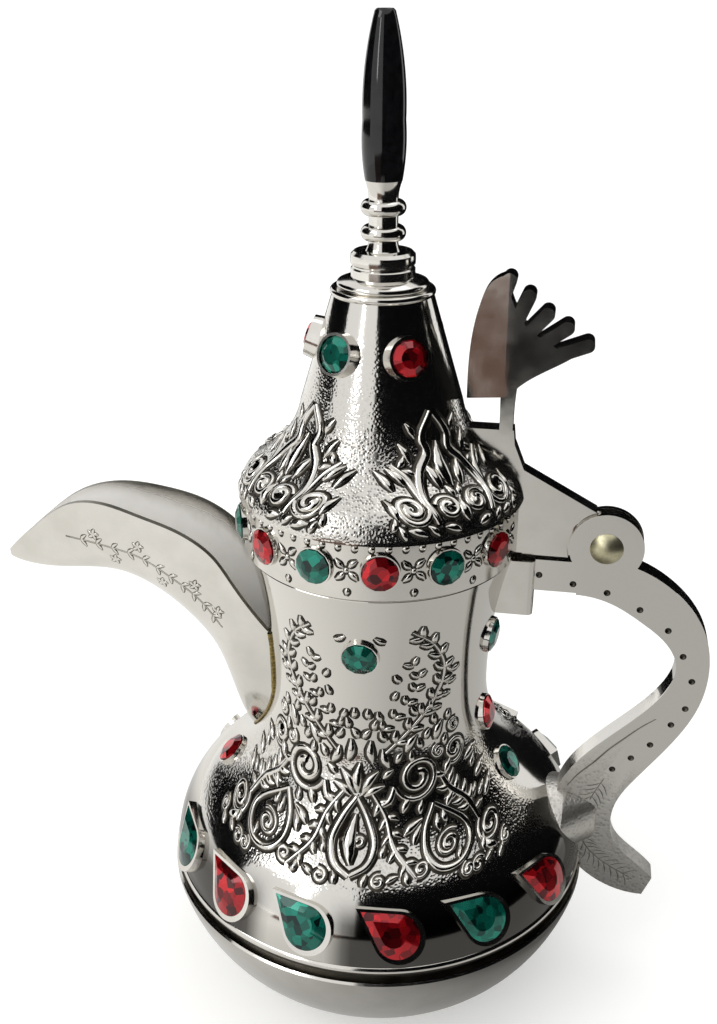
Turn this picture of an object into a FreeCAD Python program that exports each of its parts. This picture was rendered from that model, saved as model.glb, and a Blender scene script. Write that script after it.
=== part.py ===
import FreeCAD, Part
import math
import os
import re

import Sketcher
from FreeCAD import Placement, Rotation, Vector

# Dallah coffee pot in millimetres. +Z is up, the origin is the centre of the foot,
# the spout points along -X and the handle along +X.

DIMENSIONS = {
    # sheet metal of the pot
    "sheet": 1.2,
    "foot_radius": 29.0,
    "bowl_radius": 47.2,
    "bowl_height": 25.0,
    "bowl_curve": 40.0,
    "bowl_lip": 1.5,
    "groove_depth": 2.0,
    "groove_height": 1.5,
    "bead_inset": 0.3,
    "bead_height": 2.3,
    "belly_inset": 0.8,
    "belly_curve": 22.0,
    "shoulder_radius": 36.7,
    "shoulder_rise": 17.0,
    "neck_curve": 29.8,
    "waist_radius": 23.5,
    "waist_rise": 24.7,
    "flare_curve": 112.0,
    "mouth_radius": 28.0,
    "flare_rise": 31.5,
    # pouring port in the neck, behind the spout
    "port_radius": 5.5,
    "port_rise": 8.0,
    # spout, from the waist of the neck to its tip
    "spout_reach": 60.5,
    "spout_half": 10.0,
    "spout_wall": 1.3,
    "spout_floor": 1.5,
    # handle, hinge and bracket
    "handle_width": 4.8,
    "handle_bow": 19.7,
    "handle_half": 6.5,
    "hinge_reach": 18.5,
    "hinge_rise": 2.7,
    "ear_radius": 7.5,
    "slot_width": 2.2,
    "slot_margin": 0.6,
    "side_gap": 0.2,
    "ear_gap": 0.5,
    "pin_radius": 1.5,
    "pin_seat": 0.02,
    "pin_play": 0.06,
    "pin_head_radius": 3.4,
    "pin_head_height": 1.7,
    "bracket_width": 8.0,
    "bracket_reach": 4.5,
    "bracket_height": 12.3,
    "bracket_drop": 0.8,
    "strap_height": 7.0,
    "escutcheon_width": 20.0,
    "escutcheon_height": 15.6,
    "escutcheon_rise": 8.2,
    "escutcheon_root": 4.4,
    "escutcheon_reach": 3.1,
    "escutcheon_nose": 6.4,
    # lid
    "seam_gap": 0.3,
    "band_overhang": 0.5,
    "band_height": 12.0,
    "brow_lip": 0.9,
    "bulge_curve": 8.2,
    "brow_inset": 3.3,
    "brow_rise": 6.2,
    "hat_curve": 19.0,
    "cone_radius": 16.2,
    "hat_rise": 12.8,
    "cone_top_radius": 9.9,
    "cone_rise": 21.2,
    "flange_depth": 2.8,
    "flange_gap": 1.5,
    "flange_ledge": 2.0,
    # lid arm and thumb crest
    "knuckle_radius": 7.0,
    "arm_width": 4.0,
    "arm_gap": 0.8,
    "arm_inset": 1.6,
    "crest_height": 25.6,
    "crest_width": 4.4,
    "crest_edge": 1.4,
    "finger_radius": 1.35,
    # crown collar and finial
    "stud_radius": 1.5,
    "stud_play": 0.05,
    "collar_step": 1.3,
    "collar_radius": 6.2,
    "collar_rise": 8.2,
    "stem_neck": 2.8,
    "stem_ring": 4.3,
    "ring_curve": 1.5,
    "stem_rise": 13.0,
    "rod_foot": 3.5,
    "rod_radius": 4.0,
    "rod_tip": 1.9,
    "rod_length": 29.4,
    "stud_grip": 17.0,
    "nut_flats": 5.5,
    "nut_height": 2.4,
    "washer_radius": 4.0,
    "washer_height": 0.8,
    "stud_tail": 1.5,
    # glass stones and their collets
    "stone_radius": 3.55,
    "stone_height": 1.5,
    "crown_stone_height": 2.3,
    "collet_wall": 0.5,
    "crown_collet_wall": 1.0,
    "collet_height": 0.8,
    "crown_collet_height": 1.9,
    "stone_seat": 0.25,
    "stone_play": 0.05,
    "teardrop_radius": 4.5,
    "teardrop_length": 13.4,
    "teardrop_rim_wall": 0.8,
    "teardrop_height": 1.7,
    "teardrop_rim_height": 1.1,
    "teardrop_tilt": 35.0,
    "teardrop_rise": 8.2,
    "band_stone_rise": 6.4,
    "crown_stone_drop": 9.5,
    "neck_stone_drop": 14.1,
    "stone_margin": 1.0,
    "waist_stone_drop": 6.0,
    "shoulder_stone_rise": 6.7,
    "spout_stone_rise": 2.7,
}
TEARDROPS_PER_SIDE = 6
TEARDROP_PITCH = 23.5
BAND_STONES = 14
BAND_TURN = 8.8
CROWN_STONES = 6
CROWN_TURN = 30
SIDE_TURN = 80

doc = FreeCAD.newDocument("dallah")
sheet = doc.addObject("Spreadsheet::Sheet", "dims")
for row, (alias, number) in enumerate(DIMENSIONS.items(), start=1):
    sheet.set(f"A{row}", alias)
    sheet.set(f"B{row}", str(number))
    sheet.setAlias(f"B{row}", alias)
doc.recompute()

ALIASES = re.compile(r"\b(" + "|".join(DIMENSIONS) + r")\b")
exported = []


def bound(expression):
    """The expression with every alias read from the sheet."""
    return ALIASES.sub(r"dims.\1", expression)


def size(expression):
    """The number that an expression of aliases stands for now."""
    return float(sheet.evalExpression(expression))


def keep(piece):
    """Mark a finished sub-part for export under its label."""
    exported.append(piece)
    return piece


def arc_middle(start, end, radius, side):
    """The middle of the arc from start to end that swells to one side of its direction."""
    chord = end - start
    half = chord.Length / 2
    rise = radius - math.sqrt(radius * radius - half * half)
    normal = Vector(chord.y, -chord.x, 0).normalize()
    turn = 1 if side == "right" else -1
    return (start + end) * 0.5 + normal * (rise * turn)


def origin_part(body, role):
    """The body's own origin plane or axis of that role."""
    return [datum for datum in body.Origin.OriginFeatures if datum.Role == role][0]


def outline_sketch(body, role, corners):
    """A closed sketch whose corners are (across, up) or (across, up, side, arc radius) expressions.

    The arc of a corner runs to it from the corner before. Every corner is bound to the sheet.
    """
    sketch = body.newObject("Sketcher::SketchObject", body.Name + "_outline")
    sketch.AttachmentSupport = [(origin_part(body, role), "")]
    sketch.MapMode = "FlatFace"
    places = [Vector(size(corner[0]), size(corner[1]), 0) for corner in corners]
    ends = []
    for index, corner in enumerate(corners):
        start, end = places[index - 1], places[index]
        if len(corner) == 2:
            curve = sketch.addGeometry(Part.LineSegment(start, end))
        else:
            middle = arc_middle(start, end, size(corner[3]), corner[2])
            swept = (start, middle, end) if corner[2] == "right" else (end, middle, start)
            curve = sketch.addGeometry(Part.Arc(*swept))
            radius = sketch.addConstraint(Sketcher.Constraint("Radius", curve, size(corner[3])))
            sketch.setExpression(f"Constraints[{radius}]", bound(corner[3]))
        forward = len(corner) == 2 or corner[2] == "right"
        ends.append((curve, 1, 2) if forward else (curve, 2, 1))
    for index, corner in enumerate(corners):
        curve, _, last = ends[index]
        following, begin, _ = ends[(index + 1) % len(corners)]
        sketch.addConstraint(Sketcher.Constraint("Coincident", curve, last, following, begin))
        for kind, axis, expression in (("DistanceX", -2, corner[0]), ("DistanceY", -1, corner[1])):
            if expression == "0":
                sketch.addConstraint(Sketcher.Constraint("PointOnObject", curve, last, axis))
            else:
                pin = Sketcher.Constraint(kind, -1, 1, curve, last, size(expression))
                pinned = sketch.addConstraint(pin)
                sketch.setExpression(f"Constraints[{pinned}]", bound(expression))
    return sketch


def turned(label, corners):
    """A sub-part turned about Z from (radius, height) corners."""
    body = doc.addObject("PartDesign::Body", label)
    body.Label = label
    turn = body.newObject("PartDesign::Revolution", label + "_turn")
    turn.Profile = outline_sketch(body, "XZ_Plane", corners)
    turn.ReferenceAxis = (origin_part(body, "Z_Axis"), [""])
    turn.Angle = 360
    return body


def turned_out(body, corners):
    """The body with the inside of the outline turned away about Z."""
    hollow = body.newObject("PartDesign::Groove", body.Name + "_hollow")
    hollow.Profile = outline_sketch(body, "XZ_Plane", corners)
    hollow.ReferenceAxis = (origin_part(body, "Z_Axis"), [""])
    hollow.Angle = 360
    body.Tip = hollow
    return body


def shaped(label, shape):
    """A sub-part whose form has no sketch of its own."""
    piece = doc.addObject("Part::Feature", label)
    piece.Label = label
    piece.Shape = shape
    return piece


# Heights and radii that several pieces share, stacked from the foot up.
GROOVE_BASE = "(bowl_height + bowl_lip)"
BEAD_BASE = f"({GROOVE_BASE} + groove_height)"
SHELL_BASE = f"({BEAD_BASE} + bead_height)"
BELLY_RADIUS = "(bowl_radius - belly_inset)"
SHOULDER = f"({SHELL_BASE} + shoulder_rise)"
WAIST = f"({SHOULDER} + waist_rise)"
MOUTH = f"({WAIST} + flare_rise)"
STRAP_TOP = f"({MOUTH} - bracket_drop)"
HINGE_X = "(mouth_radius + hinge_reach)"
HINGE_Z = f"({MOUTH} + hinge_rise)"
PAD_Z = f"({SHELL_BASE} + escutcheon_rise)"
LID_BASE = f"({MOUTH} + seam_gap)"
BAND_RADIUS = "(mouth_radius + band_overhang)"
BAND_TOP = f"({LID_BASE} + band_height)"
BROW_RADIUS = f"({BAND_RADIUS} - brow_inset)"
BROW = f"({BAND_TOP} + brow_rise)"
CONE = f"({BROW} + hat_rise)"
CONE_TOP = f"({CONE} + cone_rise)"
COLLAR_TOP = f"({CONE_TOP} + collar_rise)"
STEM_TOP = f"({COLLAR_TOP} + stem_rise)"


# Base bowl: a dished pan with a flat foot, turned solid and then turned out inside.
def base_bowl():
    bowl = turned("base_bowl", [
        ("0", "0"),
        ("foot_radius", "0"),
        ("bowl_radius", "bowl_height", "right", "bowl_curve"),
        ("bowl_radius", GROOVE_BASE),
        ("0", GROOVE_BASE),
    ])
    return turned_out(bowl, [
        ("0", "sheet"),
        ("foot_radius - 0.4 * sheet", "sheet"),
        ("bowl_radius - 1.2 * sheet", "bowl_height - 2 * sheet", "right", "bowl_curve"),
        ("bowl_radius - 3 * sheet", "bowl_height - sheet"),
        ("bowl_radius - 3 * sheet", GROOVE_BASE),
        ("0", GROOVE_BASE),
    ])


# Seam ring: a dark groove and a half-round bead that cover the soldered seam.
def seam_ring():
    return turned("seam_ring", [
        ("bowl_radius - 3 * sheet", GROOVE_BASE),
        ("bowl_radius - groove_depth", GROOVE_BASE),
        ("bowl_radius - groove_depth", BEAD_BASE),
        ("bowl_radius - bead_inset - bead_height / 3", BEAD_BASE),
        ("bowl_radius - bead_inset - bead_height / 3", SHELL_BASE, "right", "bead_height * 0.55"),
        ("bowl_radius - 3 * sheet", SHELL_BASE),
    ])


BODY_OUTSIDE = [
    (BELLY_RADIUS, SHELL_BASE),
    ("shoulder_radius", SHOULDER, "right", "belly_curve"),
    ("waist_radius", WAIST, "left", "neck_curve"),
    ("mouth_radius", MOUTH, "left", "flare_curve"),
]


# Body shell: belly, waist and flared mouth in one raised sheet, with the pouring port.
def body_shell():
    body = turned("body_shell", BODY_OUTSIDE + [
        ("mouth_radius - sheet", MOUTH),
        ("waist_radius - sheet", WAIST, "right", "flare_curve + sheet"),
        ("shoulder_radius - 0.56 * sheet", SHOULDER + " - 0.83 * sheet", "right", "neck_curve + sheet"),
        (BELLY_RADIUS + " - sheet", SHELL_BASE, "left", "belly_curve - sheet"),
    ])
    doc.recompute()
    whole = body.Shape.Volume
    sketch = body.newObject("Sketcher::SketchObject", "port_outline")
    sketch.AttachmentSupport = [(origin_part(body, "YZ_Plane"), "")]
    sketch.MapMode = "FlatFace"
    level = WAIST + " + port_rise"
    circle = Part.Circle(Vector(0, size(level), 0), Vector(0, 0, 1), size("port_radius"))
    ring = sketch.addGeometry(circle)
    sketch.addConstraint(Sketcher.Constraint("PointOnObject", ring, 3, -2))
    height = sketch.addConstraint(Sketcher.Constraint("DistanceY", -1, 1, ring, 3, size(level)))
    sketch.setExpression(f"Constraints[{height}]", bound(level))
    radius = sketch.addConstraint(Sketcher.Constraint("Radius", ring, size("port_radius")))
    sketch.setExpression(f"Constraints[{radius}]", bound("port_radius"))
    port = body.newObject("PartDesign::Pocket", "port")
    port.Profile = sketch
    port.setExpression("Length", bound("mouth_radius"))
    port.Reversed = False
    doc.recompute()
    cut = Vector(-size("waist_radius") + size("sheet") / 2, 0, size(level))
    if body.Shape.Volume >= whole or body.Shape.isInside(cut, 1e-3, True):
        port.Reversed = True
        doc.recompute()
    return body


# The seam line of a turned solid is turned away from the stones and the handle.
SEAM_TURN = 38


def envelope_of(label, corners):
    """An outside as a full solid, to seat what is soldered on it."""
    solid = turned(label, corners)
    solid.Placement = Placement(Vector(0, 0, 0), Rotation(Vector(0, 0, 1), SEAM_TURN))
    return solid


def pot_envelope():
    return envelope_of("pot_envelope", BODY_OUTSIDE + [("0", MOUTH), ("0", SHELL_BASE)])


# Spout: a crescent beak, open on top. Each station is (distance out from the neck, floor, rim) in
# shares of the spout's reach, with both heights above the waist, and a share of its half width.
SPOUT_STATIONS = [
    (1.000, 0.334, 0.370, 0.09),
    (0.934, 0.314, 0.435, 0.19),
    (0.851, 0.307, 0.509, 0.30),
    (0.736, 0.314, 0.592, 0.46),
    (0.587, 0.317, 0.623, 0.68),
    (0.438, 0.264, 0.598, 0.87),
    (0.306, 0.159, 0.559, 0.95),
    (0.207, 0.026, 0.502, 0.98),
    (0.132, -0.198, 0.413, 1.00),
    (0.058, -0.314, 0.298, 1.00),
    (-0.025, -0.380, 0.198, 1.00),
]


def spout_stations():
    """The spout's stations as (X, floor Z, rim Z, half width)."""
    reach, level, half = size("spout_reach"), size(WAIST), size("spout_half")
    root = size("waist_radius")
    return [(-root - reach * out, level + reach * low, level + reach * rim, half * wide)
            for out, low, rim, wide in SPOUT_STATIONS]


def spout_section(station, wall, floor, rise):
    """A keeled trough across X: its rim chord and its curved side, inset by wall and floor."""
    across, low, rim, half = station
    low += min(floor, (rim - low) / 3)
    half -= min(wall, half / 2)
    depth = rim - low
    side = [(1.0, 1.0), (0.86, 0.55), (0.5, 0.16), (0.0, 0.0)]
    right = [Vector(across, half * wide, low + depth * up) for wide, up in side]
    left = [Vector(p.x, -p.y, p.z) for p in reversed(right[:-1])]
    hull = Part.BSplineCurve()
    hull.interpolate(right + left)
    top = [right[0], right[0] + Vector(0, 0, rise), left[-1] + Vector(0, 0, rise), left[-1]]
    chords = top if rise else [top[0], top[3]]
    edges = [hull.toShape()]
    path = list(reversed(chords))
    edges += [Part.LineSegment(a, b).toShape() for a, b in zip(path, path[1:])]
    return Part.Wire(edges)


def spout(envelope):
    wall, floor = size("spout_wall"), size("spout_floor")
    stations = spout_stations()
    outer = Part.makeLoft([spout_section(s, 0, 0, 0) for s in stations], True, False)
    inner = Part.makeLoft([spout_section(s, wall, floor, wall) for s in stations], True, False)
    return shaped("spout", outer.cut(inner).cut(envelope.Shape))


# Handle: a cast strap from the bracket round the bow to its tail. Each station is a share of the
# rise from the pad to the strap's level end, a share of the bow, and a share of the half height.
HANDLE_STATIONS = [
    (0.995, -0.305, 0.57),
    (0.979, 0.229, 0.74),
    (0.909, 0.594, 0.75),
    (0.809, 0.884, 0.63),
    (0.694, 1.002, 0.52),
    (0.558, 0.931, 0.60),
    (0.427, 0.698, 0.74),
    (0.269, 0.313, 0.91),
    (0.127, 0.050, 1.00),
    (-0.015, 0.020, 0.95),
    (-0.140, 0.183, 0.83),
    (-0.222, 0.488, 0.72),
    (-0.272, 0.814, 0.40),
]


def handle_stations():
    """The handle's stations as (X, Z, half height), out from a line from the belly to the hinge."""
    low, high = size(PAD_Z), size(STRAP_TOP + " - strap_height / 2")
    near, far = size(BELLY_RADIUS), size(HINGE_X)
    bow, half = size("handle_bow"), size("handle_half")
    return [(near + (far - near) * rise + bow * out, low + (high - low) * rise, half * tall)
            for rise, out, tall in HANDLE_STATIONS]


def ribbon(stations):
    """A closed face in the XZ plane that follows a line of stations with their half heights."""
    line = Part.BSplineCurve()
    line.interpolate([Vector(x, 0, z) for x, z, _ in stations])
    upper, lower = [], []
    for x, z, half in stations:
        tangent = line.tangent(line.parameter(Vector(x, 0, z)))[0]
        across = Vector(-tangent.z, 0, tangent.x) * half
        upper.append(Vector(x, 0, z) + across)
        lower.append(Vector(x, 0, z) - across)
    edges = []
    for side in (upper, lower):
        curve = Part.BSplineCurve()
        curve.interpolate(side)
        edges.append(curve.toShape())
    edges.append(Part.LineSegment(upper[0], lower[0]).toShape())
    edges.append(Part.LineSegment(upper[-1], lower[-1]).toShape())
    return Part.Face(Part.Wire(Part.__sortEdges__(edges)))


def thick(face, width):
    """A flat XZ face given a width centred on the plane of the spout and handle."""
    lowered = face.translated(Vector(0, -width / 2, 0))
    return lowered.extrude(Vector(0, width, 0))


def hinge_disc(radius, width):
    """A disc about the hinge axis, centred on the plane of the spout and handle."""
    middle = Vector(size(HINGE_X), -width / 2, size(HINGE_Z))
    return Part.makeCylinder(radius, width, middle, Vector(0, 1, 0))


def strap_root():
    """The level end of the strap that lies against the bracket."""
    top, reach = size(STRAP_TOP), size("mouth_radius + bracket_reach")
    drop, width = size("strap_height"), size("handle_width")
    end = handle_stations()[1][0]
    return Part.makeBox(end - reach, width, drop, Vector(reach, -width / 2, top - drop))


def handle(envelope):
    width = size("handle_width")
    strap = thick(ribbon(handle_stations()), width)
    strap = strap.fuse(strap_root()).fuse(hinge_disc(size("ear_radius"), width))
    strap = strap.cut(hinge_disc(size("knuckle_radius + slot_margin"), size("slot_width")))
    strap = strap.cut(hinge_disc(size("pin_radius + pin_seat"), 2 * width))
    strap = strap.cut(envelope.Shape)
    for neighbour in ("handle_escutcheon", "seam_ring", "base_bowl"):
        strap = strap.cut(doc.getObject(neighbour).Shape)
    outside = max(strap.Solids, key=lambda solid: solid.Volume)
    return shaped("handle", outside.removeSplitter())


# Upper bracket: the block between the neck and the handle's strap.
def handle_bracket(envelope):
    width, high, reach = size("bracket_width"), size("bracket_height"), size("mouth_radius + bracket_reach")
    base = size(STRAP_TOP) - high
    inside = size("waist_radius") / 2
    block = Part.makeBox(reach - inside, width, high, Vector(inside, -width / 2, base))
    upright = [edge for edge in block.Edges if abs(edge.BoundBox.XMax - reach) < 1e-6 and edge.BoundBox.ZLength > 1]
    block = block.makeFillet(size("sheet"), upright)
    return shaped("handle_bracket", block.cut(envelope.Shape))


# Lower escutcheon: the cast leaf pad that narrows from the belly to the handle's lower end.
def handle_escutcheon(envelope):
    half, high = size("escutcheon_width / 2"), size("escutcheon_height / 2")
    nose = size("escutcheon_nose / 2")
    root, tip = BELLY_RADIUS + " - escutcheon_root", BELLY_RADIUS + " + escutcheon_reach"
    stations = [("shoulder_radius / 2", half), (root, half), (tip, nose)]
    ovals = []
    for across, wide in stations:
        centre = Vector(size(across), 0, size(PAD_Z))
        tall = high - (half - wide) / 3
        ovals.append(oval(centre, wide, tall))
    pad = Part.makeLoft(ovals, True, True)
    return shaped("handle_escutcheon", pad.cut(envelope.Shape))


def oval(centre, wide, tall):
    """An upright oval across X of those half sizes."""
    long, short = Vector(0, wide, 0), Vector(0, 0, tall)
    if tall > wide:
        long, short = short, long
    return Part.Wire([Part.Ellipse(centre + long, centre + short, centre).toShape()])


# Hinge pin: a rivet with a domed head on each ear.
def hinge_pin():
    width, head = size("handle_width"), size("pin_head_height")
    shank = hinge_disc(size("pin_radius"), width)
    radius = size("pin_head_radius")
    ball = (radius * radius + head * head) / (2 * head)
    pin = shank
    for side in (-1, 1):
        centre = Vector(size(HINGE_X), side * (width / 2 + head - ball), size(HINGE_Z))
        face = Vector(size(HINGE_X), side * width / 2, size(HINGE_Z))
        block = Part.makeCylinder(radius, head, face, Vector(0, side, 0))
        pin = pin.fuse(block.common(Part.makeSphere(ball, centre)))
    return shaped("hinge_pin", pin.removeSplitter())


LID_OUTSIDE = [
    (BAND_RADIUS + " + brow_lip", BAND_TOP),
    (BROW_RADIUS, BROW, "right", "bulge_curve"),
    ("cone_radius", CONE, "left", "hat_curve"),
    ("cone_top_radius", CONE_TOP),
]


# Lid cone: a pointed hat of sheet metal with a rounded brow and a flat top for the finial.
def lid_cone():
    return turned("lid_cone", LID_OUTSIDE + [
        ("stud_radius + stud_play", CONE_TOP),
        ("stud_radius + stud_play", CONE_TOP + " - sheet"),
        ("cone_top_radius - sheet", CONE_TOP + " - sheet"),
        ("cone_radius - sheet", CONE),
        (BROW_RADIUS + " - sheet", BROW + " - 0.6 * sheet", "right", "hat_curve + sheet"),
        (BAND_RADIUS + " - sheet", BAND_TOP, "left", "bulge_curve - sheet / 2"),
    ])


# Lid band: the plain hoop that carries the row of stones.
def lid_band():
    return turned("lid_band", [
        (BAND_RADIUS + " - sheet", LID_BASE),
        (BAND_RADIUS, LID_BASE),
        (BAND_RADIUS, BAND_TOP),
        (BAND_RADIUS + " - sheet", BAND_TOP),
    ])


FLANGE_OUT = "(mouth_radius - sheet - flange_gap)"


# Lid flange: the inner hoop that drops into the mouth.
def lid_flange():
    return turned("lid_flange", [
        (FLANGE_OUT + " - sheet", MOUTH + " - flange_depth"),
        (FLANGE_OUT, MOUTH + " - flange_depth"),
        (FLANGE_OUT, LID_BASE + " + flange_ledge - sheet"),
        (BAND_RADIUS + " - sheet", LID_BASE + " + flange_ledge - sheet"),
        (BAND_RADIUS + " - sheet", LID_BASE + " + flange_ledge"),
        (FLANGE_OUT + " - sheet", LID_BASE + " + flange_ledge"),
    ])


def lid_envelope():
    foot = [("0", LID_BASE), (BAND_RADIUS, LID_BASE), (BAND_RADIUS, BAND_TOP)]
    return envelope_of("lid_envelope", foot + LID_OUTSIDE + [("0", CONE_TOP)])


# Lid arm: a web plate from the lid's back, thinned to a knuckle between the handle's ears. The
# corners of its top and the points of the crest are shares of the crest's height, out and up
# from the foot of the lid's straight cone.
ARM_TOP = [(0.031, -0.180), (0.406, -0.180), (0.418, -0.297), (0.500, -0.500)]
ARM_SHOULDER = 0.1


def crest_point(out, up):
    """A point of the arm or the crest in the XZ plane."""
    height = size("crest_height")
    return Vector(size("cone_radius") + height * out, 0, size(CONE) + height * up)


def lid_arm(envelope):
    lug = size("slot_width - 2 * side_gap")
    under = size(STRAP_TOP) + size("arm_gap")
    near = size("mouth_radius + arm_inset")
    axis, top = size(HINGE_X), size(HINGE_Z + " + knuckle_radius")
    ease = ARM_SHOULDER * size("crest_height")
    corners = [crest_point(out, up) for out, up in ARM_TOP]
    corners += [Vector(axis - ease, 0, top + ease / 4), Vector(axis, 0, top)]
    corners += [Vector(axis, 0, under), Vector(near, 0, under)]
    corners += [Vector(near, 0, size(LID_BASE)), Vector(size("cone_top_radius"), 0, size(LID_BASE))]
    outline = Part.Face(Part.makePolygon(corners + corners[:1]))
    width = size("arm_width")
    web = thick(outline, width).cut(hinge_disc(size("ear_radius + ear_gap"), 2 * width))
    web = web.fuse(thick(outline, lug)).fuse(hinge_disc(size("knuckle_radius"), lug))
    web = web.cut(hinge_disc(size("pin_radius + pin_play"), 2 * width))
    return shaped("lid_arm", web.cut(envelope.Shape).removeSplitter())


# Thumb crest: a palm of five rounded fingers on a short stem, in the plane of the handle.
STEM_STATIONS = [(0.346, -0.250, 0.052), (0.344, -0.040, 0.052), (0.350, 0.160, 0.062)]
PALM_HEEL = [(0.352, 0.090), (0.030, 0.045), (0.034, 0.351), (0.064, 0.623), (0.112, 0.815), (0.170, 0.939),
             (0.272, 1.010)]
PALM_WEB = [(0.360, 0.790), (0.455, 0.635), (0.600, 0.535), (0.760, 0.450)]
PALM_BACK = [(0.800, 0.415), (0.661, 0.331), (0.507, 0.238), (0.352, 0.090)]
FINGERS = [
    ((0.235, 0.720), (0.316, 0.980)),
    ((0.360, 0.620), (0.463, 0.865)),
    ((0.440, 0.550), (0.606, 0.737)),
    ((0.520, 0.470), (0.755, 0.640)),
    ((0.580, 0.385), (0.912, 0.516)),
]
RIDGE = 0.312


def spline_edge(points):
    """A smooth edge in the XZ plane through the points."""
    curve = Part.BSplineCurve()
    curve.interpolate([crest_point(out, up) for out, up in points])
    return curve.toShape()


def finger(root, tip, width):
    """A bar with a round tip in the XZ plane."""
    start, end = crest_point(*root), crest_point(*tip)
    radius = size("finger_radius")
    along = (end - start).normalize()
    across = Vector(-along.z, 0, along.x) * radius
    cap = Part.Arc(end + across, end + along * radius, end - across).toShape()
    edges = [Part.LineSegment(start + across, end + across).toShape(), cap]
    edges += [Part.LineSegment(end - across, start - across).toShape()]
    edges += [Part.LineSegment(start - across, start + across).toShape()]
    return thick(Part.Face(Part.Wire(edges)), width)


def crest_stem():
    """The stem's stations as (X, Z, half width), with its foot below the top of the arm."""
    stations = []
    for out, up, half in STEM_STATIONS:
        place = crest_point(out, up)
        stations.append((place.x, place.z, half * size("crest_height")))
    return stations


def thumb_crest():
    width = size("crest_width")
    edges = [spline_edge(PALM_HEEL[1:]), spline_edge(PALM_BACK)]
    web = PALM_HEEL[-1:] + PALM_WEB + PALM_BACK[:1]
    for a, b in [(PALM_HEEL[0], PALM_HEEL[1])] + list(zip(web, web[1:])):
        edges.append(Part.LineSegment(crest_point(*a), crest_point(*b)).toShape())
    crest = thick(Part.Face(Part.Wire(Part.__sortEdges__(edges))), width)
    crest = crest.fuse(thick(ribbon(crest_stem()), size("arm_width")))
    for root, tip in FINGERS:
        crest = crest.fuse(finger(root, tip, width))
    ridge, heel = crest_point(RIDGE, PALM_HEEL[1][1]), crest_point(*PALM_HEEL[1])
    for side in (-1, 1):
        corners = [(ridge.x, width), (heel.x - width, width), (heel.x, size("crest_edge"))]
        wedge = [Vector(across, side * wide / 2, ridge.z) for across, wide in corners]
        face = Part.Face(Part.makePolygon(wedge + wedge[:1]))
        crest = crest.cut(face.extrude(Vector(0, 0, 2 * size("crest_height"))))
    crest = crest.cut(doc.getObject("lid_arm").Shape)
    outside = max(crest.Solids, key=lambda solid: solid.Volume)
    return shaped("thumb_crest", outside.removeSplitter())


# Crown collar: stepped rings and a short drum under the finial.
def crown_collar():
    return turned("crown_collar", [
        ("stud_radius + stud_play", CONE_TOP),
        ("cone_top_radius", CONE_TOP),
        ("cone_top_radius", CONE_TOP + " + collar_step", "right", "collar_step"),
        ("cone_top_radius - collar_step", CONE_TOP + " + collar_step"),
        ("cone_top_radius - collar_step", CONE_TOP + " + 2 * collar_step", "right", "collar_step"),
        ("collar_radius", CONE_TOP + " + 2.6 * collar_step"),
        ("collar_radius", COLLAR_TOP),
        ("stud_radius + stud_play", COLLAR_TOP),
    ])


# Finial stem: two turned rings between slim necks.
def finial_stem():
    corners = [("stud_radius + stud_play", COLLAR_TOP), ("stem_neck + 0.6", COLLAR_TOP)]
    for share in (0.16, 0.52):
        low = f"{COLLAR_TOP} + {share} * stem_rise"
        high = f"{COLLAR_TOP} + {share + 0.2} * stem_rise"
        corners.append(("stem_neck", low))
        corners.append(("stem_ring - ring_curve / 2", low))
        corners.append(("stem_ring - ring_curve / 2", high, "right", "ring_curve"))
        corners.append(("stem_neck", high))
    corners += [("rod_foot", STEM_TOP), ("stud_radius + stud_play", STEM_TOP)]
    return turned("finial_stem", corners)


# Finial rod: the black turned tip, bored for the stud.
def finial_rod():
    return turned("finial_rod", [
        ("stud_radius + stud_play", STEM_TOP),
        ("rod_foot", STEM_TOP),
        ("rod_radius", STEM_TOP + " + 0.36 * rod_length"),
        ("0.89 * rod_radius", STEM_TOP + " + 0.68 * rod_length"),
        ("rod_tip", STEM_TOP + " + rod_length"),
        ("0", STEM_TOP + " + rod_length"),
        ("0", STEM_TOP + " + stud_grip"),
        ("stud_radius + stud_play", STEM_TOP + " + stud_grip"),
    ])


WASHER_BASE = f"({CONE_TOP} - sheet - washer_height)"
NUT_BASE = f"({WASHER_BASE} - nut_height)"


# Finial stud, washer and nut: they clamp the finial to the lid's top.
def finial_stud():
    stud = doc.addObject("Part::Cylinder", "finial_stud")
    stud.setExpression("Radius", bound("stud_radius"))
    stud.setExpression("Height", bound(f"{STEM_TOP} + stud_grip - stud_play - {NUT_BASE} + stud_tail"))
    stud.setExpression("Placement.Base.z", bound(f"{NUT_BASE} - stud_tail"))
    return stud


def finial_washer():
    return turned("finial_washer", [
        ("stud_radius + stud_play", WASHER_BASE),
        ("washer_radius", WASHER_BASE),
        ("washer_radius", WASHER_BASE + " + washer_height"),
        ("stud_radius + stud_play", WASHER_BASE + " + washer_height"),
    ])


def finial_nut():
    hexagon = doc.addObject("Part::Prism", "nut_hexagon")
    hexagon.Polygon = 6
    hexagon.setExpression("Circumradius", bound("nut_flats / sqrt(3)"))
    hexagon.setExpression("Height", bound("nut_height"))
    hexagon.setExpression("Placement.Base.z", bound(NUT_BASE))
    bore = doc.addObject("Part::Cylinder", "nut_bore")
    bore.setExpression("Radius", bound("stud_radius + stud_play"))
    bore.setExpression("Height", bound("3 * nut_height"))
    bore.setExpression("Placement.Base.z", bound(f"{NUT_BASE} - nut_height"))
    nut = doc.addObject("Part::Cut", "finial_nut")
    nut.Base = hexagon
    nut.Tool = bore
    return nut


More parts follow.
